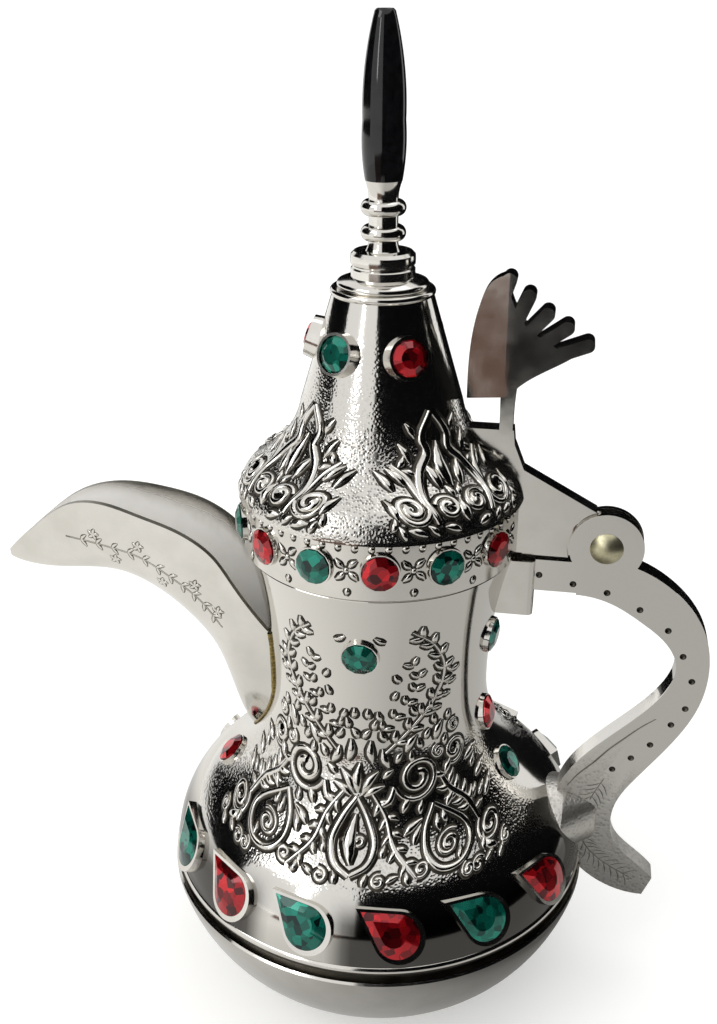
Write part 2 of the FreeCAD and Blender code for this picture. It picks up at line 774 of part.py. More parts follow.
# Stones. A seat is a place on a turned surface: its local Z is the surface's normal and its
# local X runs round the pot. Angles are from the front, -Y, towards the handle, +X.
def surface_radius(envelope, height):
    """The envelope's radius at that height, and the slope of its normal above level."""
    outline = doc.getObject(envelope.Name + "_outline").Shape
    step = 0.05
    radii = []
    for level in (height - step, height, height + step):
        ray = Part.makeLine(Vector(step, 0, level), Vector(2 * size("bowl_radius"), 0, level))
        radii.append(max(corner.X for corner in outline.section(ray).Vertexes))
    return radii[1], math.degrees(math.atan2(radii[0] - radii[2], 2 * step))


def seat(envelope, height, angle):
    """The placement of a stone on the envelope."""
    radius, slope = surface_radius(envelope, height)
    lean = Rotation(Vector(1, 0, 0), 90 - slope)
    turn = Rotation(Vector(0, 0, 1), angle)
    place = turn.multVec(Vector(0, -radius, height))
    return Placement(place, turn.multiply(lean))


def round_collet(place, kind):
    """A ring that holds a round stone, with its lower edge below the surface."""
    inner = size("stone_radius + stone_play")
    wall, high = size(kind + "_wall"), size(kind + "_height")
    outer, sunk = inner + wall, size("stone_radius / 2")
    ring = Part.makeCone(outer, outer - wall / 2, sunk + high, Vector(0, 0, -sunk))
    ring = ring.cut(Part.makeCylinder(inner, 2 * (sunk + high), Vector(0, 0, -sunk - high)))
    ring.Placement = place
    return ring


def polygon(radius, sides, height, turn):
    """A level polygon about the local axis."""
    corners = []
    for index in range(sides + 1):
        angle = math.tau * (index + turn) / sides
        corners.append(Vector(radius * math.cos(angle), radius * math.sin(angle), height))
    return Part.makePolygon(corners)


STONE_SIDES = 12
TABLE_SHARE = 0.56


def round_stone(place, height):
    """A faceted glass stone with a flat table."""
    low, high, radius = size("stone_seat"), size(height + " + stone_seat"), size("stone_radius")
    girdle = low + 0.55 * (high - low)
    levels = [(radius, low), (radius, girdle), (TABLE_SHARE * radius, high)]
    stone = Part.makeLoft([polygon(r, STONE_SIDES, z, 0.5) for r, z in levels], True, True)
    stone.Placement = place
    return stone


def teardrop(radius, length, height):
    """A level teardrop outline about the local axis, with its point along local -X."""
    reach = length - radius
    lean = math.acos(radius / reach)
    centre = length / 2 - radius
    upper = Vector(centre - radius * math.cos(lean), radius * math.sin(lean), height)
    lower = Vector(upper.x, -upper.y, height)
    point = Vector(centre - reach, 0, height)
    bow = Part.Arc(lower, Vector(centre + radius, 0, height), upper).toShape()
    sides = [Part.LineSegment(upper, point).toShape(), Part.LineSegment(point, lower).toShape()]
    return Part.Wire([bow] + sides)


def teardrop_collet(place, kind):
    """A raised rim that holds a teardrop stone."""
    wall, sunk, high = size(kind + "_wall"), size("teardrop_radius"), size(kind + "_height")
    radius, length = size("teardrop_radius"), size("teardrop_length")
    outer = Part.Face(teardrop(radius + wall, length + 3 * wall, -sunk)).extrude(Vector(0, 0, sunk + high))
    play = size("stone_play")
    hole = Part.Face(teardrop(radius + play, length + 2 * play, -2 * sunk)).extrude(Vector(0, 0, 4 * sunk))
    collet = outer.cut(hole)
    collet.Placement = place
    return collet


def teardrop_stone(place, height):
    """A teardrop stone: a straight girdle and a sloped crown round a table."""
    radius, length = size("teardrop_radius"), size("teardrop_length")
    low, high = size("stone_seat"), size(height + " + stone_seat")
    girdle = low + 0.55 * (high - low)
    base = teardrop(radius, length, low)
    middle = teardrop(radius, length, girdle)
    table = teardrop(TABLE_SHARE * radius, TABLE_SHARE * length, high)
    stone = Part.makeLoft([base, middle, table], True, True)
    stone.Placement = place
    return stone


def stone_group(name, seats, collet, stone, envelope):
    """One node of collets and one node for each colour of stone, on seats of (placement, colour).

    A collet is a maker and its kind, and a stone is a maker and the name of its height.
    """
    collets = [collet[0](place, collet[1]).cut(envelope.Shape) for place, _ in seats]
    keep(shaped(f"{name}_collets", Part.makeCompound(collets)))
    for colour in ("red", "green"):
        places = [place for place, tint in seats if tint == colour]
        stones = [stone[0](place, stone[1]).cut(envelope.Shape) for place in places]
        if stones:
            keep(shaped(f"{name}_stones_{colour}", Part.makeCompound(stones)))


def alternate(index):
    """The colours take turns round a row."""
    return "red" if index % 2 == 0 else "green"


def teardrop_seats(envelope):
    """Two runs of teardrops, front and back, clear of the spout and the handle."""
    tilt = Placement(Vector(0, 0, 0), Rotation(Vector(0, 0, 1), -size("teardrop_tilt")))
    seats = []
    for side in (0, 180):
        for index in range(TEARDROPS_PER_SIDE):
            angle = side + TEARDROP_PITCH * (index - (TEARDROPS_PER_SIDE - 1) / 2)
            place = seat(envelope, size(SHELL_BASE + " + teardrop_rise"), angle)
            seats.append((place.multiply(tilt), alternate(index + 1)))
    return seats


def ring_seats(envelope, height, count, first, clear):
    """An even row of round stones that leaves out those within clear degrees of the lid's arm."""
    seats = []
    for index in range(count):
        angle = first + 360 * index / count
        if abs(angle - 90) >= clear:
            seats.append((seat(envelope, height, angle), alternate(index)))
    return seats


# Single stones of the neck, front and back and below the bracket and the spout: (height, angle, colour).
BELOW_BRACKET = f"{STRAP_TOP} - bracket_height - stone_radius - collet_wall - stone_margin"
NECK_STONES = [
    (f"{MOUTH} - neck_stone_drop", 0, "green"),
    (f"{MOUTH} - neck_stone_drop", 180, "green"),
    (BELOW_BRACKET, SIDE_TURN, "green"),
    (f"{WAIST} - waist_stone_drop", SIDE_TURN, "red"),
    (f"{SHOULDER} + shoulder_stone_rise", SIDE_TURN, "green"),
    (f"{SHOULDER} + spout_stone_rise", -SIDE_TURN, "red"),
]


def neck_seats(envelope):
    return [(seat(envelope, size(height), angle), colour) for height, angle, colour in NECK_STONES]


# Build the pot.
pot_outside = pot_envelope()
lid_outside = lid_envelope()
doc.recompute()
for make in (base_bowl, seam_ring, body_shell):
    keep(make())
for make in (spout, handle_bracket, handle_escutcheon, handle):
    keep(make(pot_outside))
keep(hinge_pin())

# Build the lid.
for make in (lid_cone, lid_band, lid_flange):
    keep(make())
keep(lid_arm(lid_outside))
for make in (thumb_crest, crown_collar, finial_stem, finial_rod, finial_stud, finial_washer, finial_nut):
    keep(make())

# Set the stones.
low_setting = ((round_collet, "collet"), (round_stone, "stone_height"))
high_setting = ((round_collet, "crown_collet"), (round_stone, "crown_stone_height"))
drop_setting = ((teardrop_collet, "teardrop_rim"), (teardrop_stone, "teardrop_height"))
stone_group("teardrop", teardrop_seats(pot_outside), *drop_setting, pot_outside)
stone_group("neck", neck_seats(pot_outside), *low_setting, pot_outside)
band_level, crown_level = size(LID_BASE + " + band_stone_rise"), size(CONE_TOP + " - crown_stone_drop")
band_row = ring_seats(lid_outside, band_level, BAND_STONES, BAND_TURN, 180 / BAND_STONES)
stone_group("band", band_row, *low_setting, lid_outside)
crown_row = ring_seats(lid_outside, crown_level, CROWN_STONES, CROWN_TURN, 180 / CROWN_STONES)
stone_group("crown", crown_row, *high_setting, lid_outside)

# Check every object, then write one file for each sub-part.
doc.recompute()
for item in doc.Objects:
    if {"Invalid", "Error"} & set(item.State):
        raise RuntimeError(f"{item.Label} failed: {item.State}")
for piece in exported:
    if piece.Shape.isNull() or not piece.Shape.isValid():
        raise RuntimeError(f"{piece.Label} has no valid shape")
os.makedirs("parts", exist_ok=True)
for piece in exported:
    piece.Shape.exportStep(f"parts/{piece.Label}.step")
    print(piece.Label, len(piece.Shape.Solids), round(piece.Shape.Volume, 1))
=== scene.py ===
# %% [markdown]
# # A silver-plated coffee pot, dressed for its picture
# The solids of the pot come in as a fixed frame: they already have the right sizes and places.
# This lesson makes the skin that the eye sees. We turn smooth sheet metal, give the glass stones their
# finish, raise the chased ornament, and then set up soft light with dark flags, because polished metal
# shows little else than what stands around it.

# %% The frame
import bpy
import math
import random
from mathutils import Matrix, Vector


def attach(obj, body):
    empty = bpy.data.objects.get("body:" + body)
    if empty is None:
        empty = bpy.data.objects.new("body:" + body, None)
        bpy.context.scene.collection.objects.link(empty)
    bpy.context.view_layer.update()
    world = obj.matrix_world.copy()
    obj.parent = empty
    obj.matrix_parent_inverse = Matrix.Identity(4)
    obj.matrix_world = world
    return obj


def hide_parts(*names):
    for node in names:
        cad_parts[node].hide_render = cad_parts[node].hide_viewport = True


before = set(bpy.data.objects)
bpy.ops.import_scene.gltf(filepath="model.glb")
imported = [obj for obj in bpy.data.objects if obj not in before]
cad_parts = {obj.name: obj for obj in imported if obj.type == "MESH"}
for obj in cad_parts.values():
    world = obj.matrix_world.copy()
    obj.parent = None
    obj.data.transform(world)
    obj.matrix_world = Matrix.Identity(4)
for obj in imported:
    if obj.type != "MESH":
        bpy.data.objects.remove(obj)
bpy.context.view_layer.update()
MM = 0.001
print("solids in the frame:", len(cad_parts))

# %% [markdown]
# ## Camera
# The picture was taken from a little above the lid, close by, slightly towards the handle.
# A near camera makes the lid look large and the foot small, so its distance matters as much
# as its angle. We use a vertical sensor and a lens that gives the same field of view.

# %% Camera
CAMERA_PLACE = (0.035667, -0.225193, 0.2126)
CAMERA_TILT = math.radians(65.7)
CAMERA_TURN = math.radians(10.18)
bpy.ops.object.select_all(action="DESELECT")
bpy.ops.object.camera_add(location=CAMERA_PLACE, rotation=(CAMERA_TILT, 0, CAMERA_TURN))
camera = bpy.context.object
camera.data.sensor_fit = "VERTICAL"
camera.data.sensor_height = 24
camera.data.lens = 28.125
camera.data.clip_start = 0.01
bpy.context.scene.camera = camera
print("camera", tuple(round(c, 3) for c in camera.location))

# %% [markdown]
# ## Colours and nodes
# Colours are written as sRGB hex values, as in a paint program, and Blender wants them linear.
# A material is a small graph. One helper adds a node, sets it up and wires its inputs, so that each
# finish reads as a list of steps.


# %% Helpers for materials
def linear(code):
    """An sRGB hex colour as linear red, green, blue and alpha."""
    parts = [int(code[i:i + 2], 16) / 255 for i in (1, 3, 5)]
    return [c / 12.92 if c <= 0.04045 else ((c + 0.055) / 1.055) ** 2.4 for c in parts] + [1.0]


def add(tree, kind, settings, inputs):
    """A node with its settings, and with each input set to a value or linked to a socket."""
    node = tree.nodes.new(kind)
    for name, value in settings.items():
        setattr(node, name, value)
    for name, value in inputs.items():
        if isinstance(value, bpy.types.NodeSocket):
            tree.links.new(value, node.inputs[name])
        else:
            node.inputs[name].default_value = value
    return node


def new_material(name):
    """An empty node material with its output and object coordinates."""
    material = bpy.data.materials.new(name)
    material.use_nodes = True
    tree = material.node_tree
    tree.nodes.clear()
    output = tree.nodes.new("ShaderNodeOutputMaterial")
    place = add(tree, "ShaderNodeTexCoord", {}, {}).outputs["Object"]
    return material, tree, output, place


# %% [markdown]
# ## Polished silver plate
# Silver plated on brass and polished on a wheel. It mirrors the room almost without tint, so the
# base colour is nearly white, and the roughness is low. Hand polishing leaves the sheet slightly wavy
# over a few millimetres, which makes reflections swim, and handling leaves faint dull patches.


# %% Polished silver plate
def silver_plate(name, tint, roughness, wave_mm, wave_height):
    material, tree, output, place = new_material(name)
    wave = add(tree, "ShaderNodeTexNoise", {}, {"Vector": place, "Scale": 1000 / wave_mm, "Detail": 2.0})
    haze = add(tree, "ShaderNodeTexNoise", {}, {"Vector": place, "Scale": 130.0, "Detail": 4.0})
    dull = add(tree, "ShaderNodeMapRange", {}, {
        "Value": haze.outputs["Fac"], "From Min": 0.35, "From Max": 0.75,
        "To Min": roughness, "To Max": roughness + 0.09})
    colour = add(tree, "ShaderNodeValToRGB", {}, {"Fac": haze.outputs["Fac"]})
    colour.color_ramp.elements[0].position = 0.3
    colour.color_ramp.elements[0].color = linear(tint[0])
    colour.color_ramp.elements[1].position = 0.7
    colour.color_ramp.elements[1].color = linear(tint[1])
    bump = add(tree, "ShaderNodeBump", {}, {
        "Height": wave.outputs["Fac"], "Strength": 0.6, "Distance": wave_height * MM})
    shader = add(tree, "ShaderNodeBsdfPrincipled", {}, {
        "Base Color": colour.outputs["Color"], "Metallic": 1.0,
        "Roughness": dull.outputs["Result"], "Normal": bump.outputs["Normal"]})
    tree.links.new(shader.outputs["BSDF"], output.inputs["Surface"])
    return material


SILVER = silver_plate("silver_plate_polished", ("#D3D0C9", "#DEDBD5"), 0.09, 7.0, 0.05)
# One dark finish serves twice: as patina that the silver holds in its hollows, and as painted shade under
# the seam bead.
OXIDISED = silver_plate("silver_oxidised", ("#3A3733", "#5C5850"), 0.35, 0.8, 0.05)
# The engraved finish fills engraved lines, and it also paints a dark line of shade along the top of the
# spout's rim.
ENGRAVED = silver_plate("silver_engraved", ("#77756A", "#98958A"), 0.35, 0.8, 0.05)
print("silver:", SILVER.name, OXIDISED.name, ENGRAVED.name)


# %% [markdown]
# ## Chased ground
# Between the raised scrolls the ground is matted with a small round punch, about 0.7 mm across.
# Each blow leaves a pit that holds dark polish. An attribute on the mesh, painted when the shell is made,
# says where the punch went, so one material serves the plain and the matted parts. A second attribute
# paints shade low on the belly, between the stones: a dark band that stands in for the dark room the metal
# mirrors there.


# %% Chased silver
def chased_silver(name, pit_mm, depth, dull, soil):
    material, tree, output, place = new_material(name)
    mask = add(tree, "ShaderNodeAttribute", {"attribute_name": "matted"}, {}).outputs["Fac"]
    pits = add(tree, "ShaderNodeTexVoronoi", {"feature": "F1"}, {"Vector": place, "Scale": 1000 / pit_mm})
    uneven = add(tree, "ShaderNodeTexNoise", {}, {"Vector": place, "Scale": 260.0, "Detail": 3.0})
    hollow = add(tree, "ShaderNodeMapRange", {}, {
        "Value": pits.outputs["Distance"], "From Min": 0.1, "From Max": 0.6})
    wave = add(tree, "ShaderNodeTexNoise", {}, {"Vector": place, "Scale": 140.0, "Detail": 2.0})
    height = add(tree, "ShaderNodeMath", {"operation": "MULTIPLY"}, {0: hollow.outputs["Result"], 1: mask})
    height = add(tree, "ShaderNodeMath", {"operation": "MULTIPLY_ADD"}, {
        0: wave.outputs["Fac"], 1: 0.12, 2: height.outputs[0]})
    bump = add(tree, "ShaderNodeBump", {}, {
        "Height": height.outputs[0], "Strength": 0.8, "Distance": depth * MM})
    grime = add(tree, "ShaderNodeMapRange", {}, {
        "Value": hollow.outputs["Result"], "From Min": 0.9, "From Max": 0.1, "To Max": soil})
    deep = add(tree, "ShaderNodeMath", {"operation": "POWER"}, {0: mask, 1: 2.0})
    grime = add(tree, "ShaderNodeMath", {"operation": "MULTIPLY"}, {
        0: grime.outputs["Result"], 1: deep.outputs[0]})
    grime = add(tree, "ShaderNodeMath", {"operation": "MULTIPLY"}, {
        0: grime.outputs[0], 1: uneven.outputs["Fac"]})
    colour = add(tree, "ShaderNodeMix", {"data_type": "RGBA"}, {"Factor": grime.outputs[0]})
    colour.inputs[6].default_value = linear("#D8D5CF")
    colour.inputs[7].default_value = linear("#3A3733")
    # A second attribute mixes painted shade into the colour: the dark band low on the belly stands in for
    # the dark room that the metal mirrors.
    stain = add(tree, "ShaderNodeAttribute", {"attribute_name": "tarnished"}, {}).outputs["Fac"]
    stain = add(tree, "ShaderNodeMath", {"operation": "MULTIPLY"}, {0: stain, 1: 0.9})
    tarnish = add(tree, "ShaderNodeMix", {"data_type": "RGBA"}, {"Factor": stain.outputs[0]})
    tree.links.new(colour.outputs[2], tarnish.inputs[6])
    tarnish.inputs[7].default_value = linear("#2C2926")
    rough = add(tree, "ShaderNodeMath", {"operation": "MULTIPLY_ADD"}, {0: mask, 1: dull, 2: 0.09})
    shader = add(tree, "ShaderNodeBsdfPrincipled", {}, {
        "Base Color": tarnish.outputs[2], "Metallic": 1.0,
        "Roughness": rough.outputs[0], "Normal": bump.outputs["Normal"]})
    tree.links.new(shader.outputs["BSDF"], output.inputs["Surface"])
    return material


CHASED = chased_silver("silver_plate_chased", 0.62, 0.08, 0.08, 1.5)
GRAINED = chased_silver("silver_plate_grained", 0.8, 0.05, 0.34, 0.45)
print("chased:", CHASED.name, GRAINED.name)

# %% [markdown]
# ## Pickled silver
# The wheel can't reach into the spout. Acid cleaned the plating there and left it matt white, and only a
# strip below the rim was rubbed bright by hand. The same painted attribute tells the two apart.


# %% Pickled silver
def pickled_silver(name):
    material, tree, output, place = new_material(name)
    mask = add(tree, "ShaderNodeAttribute", {"attribute_name": "matted"}, {}).outputs["Fac"]
    bloom = add(tree, "ShaderNodeTexNoise", {}, {"Vector": place, "Scale": 240.0, "Detail": 4.0})
    pale = add(tree, "ShaderNodeMix", {"data_type": "RGBA"}, {"Factor": bloom.outputs["Fac"]})
    pale.inputs[6].default_value = linear("#EEECE8")
    pale.inputs[7].default_value = linear("#F8F7F4")
    colour = add(tree, "ShaderNodeMix", {"data_type": "RGBA"}, {"Factor": mask})
    colour.inputs[6].default_value = linear("#D8D5CF")
    tree.links.new(pale.outputs[2], colour.inputs[7])
    metal = add(tree, "ShaderNodeMapRange", {}, {"Value": mask, "To Min": 1.0, "To Max": 0.05})
    rough = add(tree, "ShaderNodeMapRange", {}, {"Value": mask, "To Min": 0.12, "To Max": 0.6})
    shader = add(tree, "ShaderNodeBsdfPrincipled", {}, {
        "Base Color": colour.outputs[2], "Metallic": metal.outputs["Result"],
        "Roughness": rough.outputs["Result"]})
    tree.links.new(shader.outputs["BSDF"], output.inputs["Surface"])
    return material


PICKLED = pickled_silver("silver_pickled")
print("pickled:", PICKLED.name)

# %% [markdown]
# ## Glass, lacquer, brass and solder
# The stones are pressed glass with a foil back: the foil throws the colour back, so the stone looks
# lit from inside while the facets still mirror the room. A strongly coloured, half metallic base
# under a clear coat gives that without tracing light through every facet. The tip of the finial is
# black lacquer, the hinge pin is brass, and a little golden solder shows along the spout.


# %% Coloured finishes
def foiled_glass(name, deep, bright):
    material, tree, output, place = new_material(name)
    # Patches about a facet wide run from the deep colour to the bright colour: painted reflections, with
    # dark facets beside glinting ones.
    cells = add(tree, "ShaderNodeTexVoronoi", {"feature": "F1"}, {"Vector": place, "Scale": 1000 / 1.6})
    colour = add(tree, "ShaderNodeValToRGB", {}, {"Fac": cells.outputs["Color"]})
    colour.color_ramp.elements[0].position = 0.2
    colour.color_ramp.elements[0].color = linear(deep)
    colour.color_ramp.elements[1].position = 0.85
    colour.color_ramp.elements[1].color = linear(bright)
    shader = add(tree, "ShaderNodeBsdfPrincipled", {}, {
        "Base Color": colour.outputs["Color"], "Metallic": 0.75, "Roughness": 0.16,
        "IOR": 1.52, "Coat Weight": 0.6, "Coat Roughness": 0.03, "Coat IOR": 1.52})
    tree.links.new(shader.outputs["BSDF"], output.inputs["Surface"])
    return material


def plain_finish(name, dark, light, grain_mm, metallic, roughness):
    material, tree, output, place = new_material(name)
    grain = add(tree, "ShaderNodeTexNoise", {}, {"Vector": place, "Scale": 1000 / grain_mm, "Detail": 5.0})
    colour = add(tree, "ShaderNodeValToRGB", {}, {"Fac": grain.outputs["Fac"]})
    colour.color_ramp.elements[0].position = 0.3
    colour.color_ramp.elements[0].color = linear(dark)
    colour.color_ramp.elements[1].position = 0.7
    colour.color_ramp.elements[1].color = linear(light)
    bump = add(tree, "ShaderNodeBump", {}, {
        "Height": grain.outputs["Fac"], "Strength": 0.25, "Distance": 0.02 * MM})
    shader = add(tree, "ShaderNodeBsdfPrincipled", {}, {
        "Base Color": colour.outputs["Color"], "Metallic": metallic, "Roughness": roughness,
        "Normal": bump.outputs["Normal"]})
    tree.links.new(shader.outputs["BSDF"], output.inputs["Surface"])
    return material


RED_GLASS = foiled_glass("glass_red_foiled", "#3A0309", "#D01622")
GREEN_GLASS = foiled_glass("glass_green_foiled", "#02221F", "#0F8571")
LACQUER = plain_finish("lacquer_black", "#060607", "#101012", 1.5, 0.0, 0.09)
BRASS = plain_finish("brass_polished", "#C2BC98", "#D8D3B6", 0.8, 1.0, 0.38)
SOLDER = plain_finish("solder_golden", "#5E5234", "#A8955E", 0.5, 1.0, 0.3)
STEEL = plain_finish("steel_turned", "#8A8A88", "#A8A8A6", 0.4, 1.0, 0.3)
print("glass and others ready")


# %% [markdown]
# ## Turning a profile
# The bowl, belly, lid and finial are spun on a lathe, so each is one outline swept round the axis. We start
# from a plane, merge it to one point, walk that point along the outline with extrusions, and spin the
# line. A finer outline gives a smoother reflection, so arcs are walked in many short steps.


# %% Helpers for turning
def only(piece):
    """Make one object the only selected and active one."""
    bpy.ops.object.select_all(action="DESELECT")
    piece.select_set(True)
    bpy.context.view_layer.objects.active = piece


def arc(start, end, radius, side, steps):
    """Points of an arc after its start, bulging right or left of the way it goes."""
    a, b = Vector(start), Vector(end)
    half = (b - a) / 2
    rise = math.sqrt(max(radius * radius - half.length_squared, 0))
    turn = 1 if side == "right" else -1
    centre = a + half + Vector((-half.y, half.x)).normalized() * rise * turn
    first, last = a - centre, b - centre
    sweep = first.angle_signed(last)
    return [tuple(centre + Matrix.Rotation(-sweep * k / steps, 2) @ first) for k in range(1, steps + 1)]


def walk(*marks):
    """An outline in millimetres from corners (r, z) and arcs (r, z, side, radius)."""
    path = [marks[0]]
    for mark in marks[1:]:
        if len(mark) == 2:
            path.append(mark)
        else:
            path += arc(path[-1], mark[:2], mark[3], mark[2], 14)
    return path


def drawn_line(name, points):
    """A mesh of one line through points in metres, left in edit mode."""
    bpy.ops.object.select_all(action="DESELECT")
    bpy.ops.mesh.primitive_plane_add(size=MM)
    piece = bpy.context.object
    piece.name = name
    piece.data.name = name
    bpy.ops.object.mode_set(mode="EDIT")
    bpy.ops.mesh.select_all(action="SELECT")
    bpy.ops.mesh.merge(type="CENTER")
    bpy.ops.transform.translate(value=points[0])
    for before, after in zip(points, points[1:]):
        step = Vector(after) - Vector(before)
        bpy.ops.mesh.extrude_region_move(TRANSFORM_OT_translate={"value": step})
    return piece


def turned(name, outline, steps=160, angle=32):
    """A piece spun about the pot's axis from an outline in millimetres."""
    piece = drawn_line(name, [(r * MM, 0, z * MM) for r, z in outline])
    bpy.ops.mesh.select_all(action="SELECT")
    bpy.ops.mesh.spin(steps=steps, angle=math.tau, center=(0, 0, 0), axis=(0, 0, 1))
    bpy.ops.mesh.select_all(action="SELECT")
    bpy.ops.mesh.remove_doubles(threshold=1e-6)
    bpy.ops.mesh.normals_make_consistent(inside=False)
    bpy.ops.object.mode_set(mode="OBJECT")
    bpy.ops.object.shade_smooth_by_angle(angle=math.radians(angle))
    return piece


def settle(piece, body, slot, material, *nodes):
    """Give a finished piece its finish, its body and the solids that it stands for."""
    piece.data.materials.clear()
    piece.data.materials.append(material)
    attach(piece, body)
    if nodes:
        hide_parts(*nodes)
    print(piece.name, len(piece.data.polygons), "faces")
    return piece


# %% Helpers for finishing
def flat_faces(piece):
    """Let large faces keep their own direction, so that they mirror like flat metal."""
    only(piece)
    even = piece.modifiers.new("even", "WEIGHTED_NORMAL")
    even.keep_sharp = True
    even.weight = 100
    bpy.ops.object.modifier_apply(modifier=even.name)
    return piece


def cut_with(piece, cutter):
    """Take the cutter's shape out of a piece and throw the cutter away."""
    only(piece)
    cut = piece.modifiers.new("cut", "BOOLEAN")
    cut.object = cutter
    cut.operation = "DIFFERENCE"
    cut.solver = "EXACT"
    cut.material_mode = "TRANSFER"
    bpy.ops.object.modifier_apply(modifier=cut.name)
    bpy.data.objects.remove(cutter)
    return piece


# %% [markdown]
# ## The turned metal
# The bowl is a pan with a flat foot and the belly is raised from a second sheet. A bead hides the solder
# between the two. Above the mouth sit the lid's hoop, its pointed hat and the stepped crown.
# Each outline runs up the outside and comes back down the inside, so a rim shows its thickness.

# %% Bowl, bead and belly
BODY = walk((46.4, 30.3), (36.7, 47.3, "right", 22), (23.5, 72, "left", 29.8), (28, 103.5, "left", 112))
bowl = turned("bowl", walk(
    (0, 0), (28.6, 0), (29, 0.3), (47.2, 25, "right", 40), (47.2, 26.1), (46.8, 26.5), (43.6, 26.5),
    (43.6, 23.8), (28.5, 1.2, "left", 40), (0, 1.2)))
settle(bowl, "pot", "silver_plate", SILVER, "base_bowl")
SHADE_LINE = 29.2
bead = turned("seam_bead", walk(
    (43.6, 26.5), (45.2, 26.5), (45.2, 28), (46.0, 28), (46.0, 30.3, "right", 1.22), (43.6, 30.3),
    (43.6, 26.5)))
settle(bead, "pot", "silver_plate", SILVER, "seam_ring")
# Below the shade line the bead takes the dark finish: painted shade on the bead's underside.
bead.data.materials.append(OXIDISED)
for face in bead.data.polygons:
    face.material_index = int(face.center.z < SHADE_LINE * MM)

# %% Belly and neck
mouth = [(27.8, 103.5), (27.0, 103.5), (26.8, 103.3)]
inside = walk(
    (26.8, 103.3), (22.3, 72, "right", 113), (36.03, 46.3, "right", 31), (45.2, 30.3, "left", 20.8))
shell = turned("belly_and_neck", BODY[:-1] + [(27.95, 103.3)] + mouth + inside[1:] + [BODY[0]])
settle(shell, "pot", "silver_plate", CHASED, "body_shell")
PORT_RADIUS = 5.5
PORT_PLACE = (-24 * MM, 0, 80 * MM)
bpy.ops.mesh.primitive_cylinder_add(
    vertices=48, radius=PORT_RADIUS * MM, depth=14 * MM, location=PORT_PLACE,
    rotation=(0, math.pi / 2, 0))
cut_with(shell, bpy.context.object)


def fade(value, low, high):
    """A smooth step from 0 at low to 1 at high, or down where low is the larger."""
    share = min(max((value - low) / (high - low), 0), 1)
    return share * share * (3 - 2 * share)


def painted(piece, mark, amount):
    """Paint an attribute on a piece, by angle from the front and by height in millimetres."""
    paint = piece.data.attributes.new(mark, "FLOAT", "POINT")
    for corner, value in zip(piece.data.vertices, paint.data):
        x, y, z = corner.co / MM
        value.value = amount(math.degrees(math.atan2(x, -y)), z)
    print(piece.name, mark)


def belly_matting(angle, z):
    """The punched ground of front and back, which fades out towards spout and handle."""
    aside = min(abs(angle), 180 - abs(angle))
    return 0.55 * fade(aside, 84, 66) * fade(z, 42, 46) * fade(z, 69, 60)


def belly_tarnish(angle, z):
    """Painted shade low on the belly, with one gap left of the middle where a highlight stays."""
    return fade(z, 44, 38) * fade(abs(angle + 13), 7, 15)


def lid_matting(angle, z):
    """The punched brow of the lid and a fainter ground above it."""
    return max(0.3 * fade(z, 151, 148), fade(z, 138, 131)) * fade(z, 115.9, 117)


painted(shell, "matted", belly_matting)
# The painted shade low on the belly, between the stones.
painted(shell, "tarnished", belly_tarnish)

# %% Lid hat and hoop
LID = walk((29.4, 115.8), (25.2, 122, "right", 8.2), (16.2, 134.8, "left", 19), (9.9, 156))
hat = turned("lid_hat", LID + walk(
    (8.7, 156), (1.55, 156), (1.55, 154.8), (8.7, 154.8), (15, 134.8), (24, 121.3, "right", 20.2),
    (27.3, 115.8, "left", 7.6)) + [LID[0]])
settle(hat, "lid", "silver_plate", CHASED, "lid_cone")
painted(hat, "matted", lid_matting)
hoop = turned("lid_hoop", walk(
    (27.3, 103.8), (28.3, 103.8), (28.5, 104), (28.5, 115.8), (27.3, 115.8), (27.3, 103.8)))
settle(hoop, "lid", "silver_plate", SILVER, "lid_band")

# %% Crown and finial
crown = turned("crown_rings", walk(
    (1.55, 156), (9.9, 156), (9.9, 157.3, "right", 0.8), (8.6, 157.3), (8.6, 158.6, "right", 0.8),
    (6.2, 159.4), (6.2, 160.9), (5.9, 161.2), (5.9, 161.5), (6.2, 161.8), (6.2, 163.6, "right", 8),
    (5.6, 164.2), (1.55, 164.2), (1.55, 156)))
settle(crown, "lid", "silver_plate", SILVER, "crown_collar")
rings = turned("finial_rings", walk(
    (1.55, 164.2), (3.4, 164.2), (2.8, 166.28, "left", 4), (3.55, 166.28), (3.55, 168.88, "right", 1.5),
    (2.8, 168.88), (2.8, 170.96), (3.55, 170.96), (3.55, 173.56, "right", 1.5), (2.8, 173.56),
    (3.5, 177.2, "left", 9), (1.55, 177.2), (1.55, 164.2)))
settle(rings, "lid", "silver_plate", SILVER, "finial_stem")
tip = turned("finial_tip", walk(
    (1.55, 177.2), (3.5, 177.2), (4.0, 187.8, "right", 41), (1.9, 206.2, "right", 64), (1.5, 206.6),
    (0, 206.6)))
settle(tip, "lid", "black_lacquer", LACQUER, "finial_rod")


# %% [markdown]
# ## Cast and sheet pieces
# The spout, handle, hinge and thumb crest keep the solids' shapes. A solid arrives as loose triangles,
# which would mirror the room in flat shards, so we copy each one, merge its corners, dissolve the flat
# parts and round the sharp edges with a small bevel, as a caster's file would. The spout and the collets
# are curved all over, so they keep every facet and get no bevel.


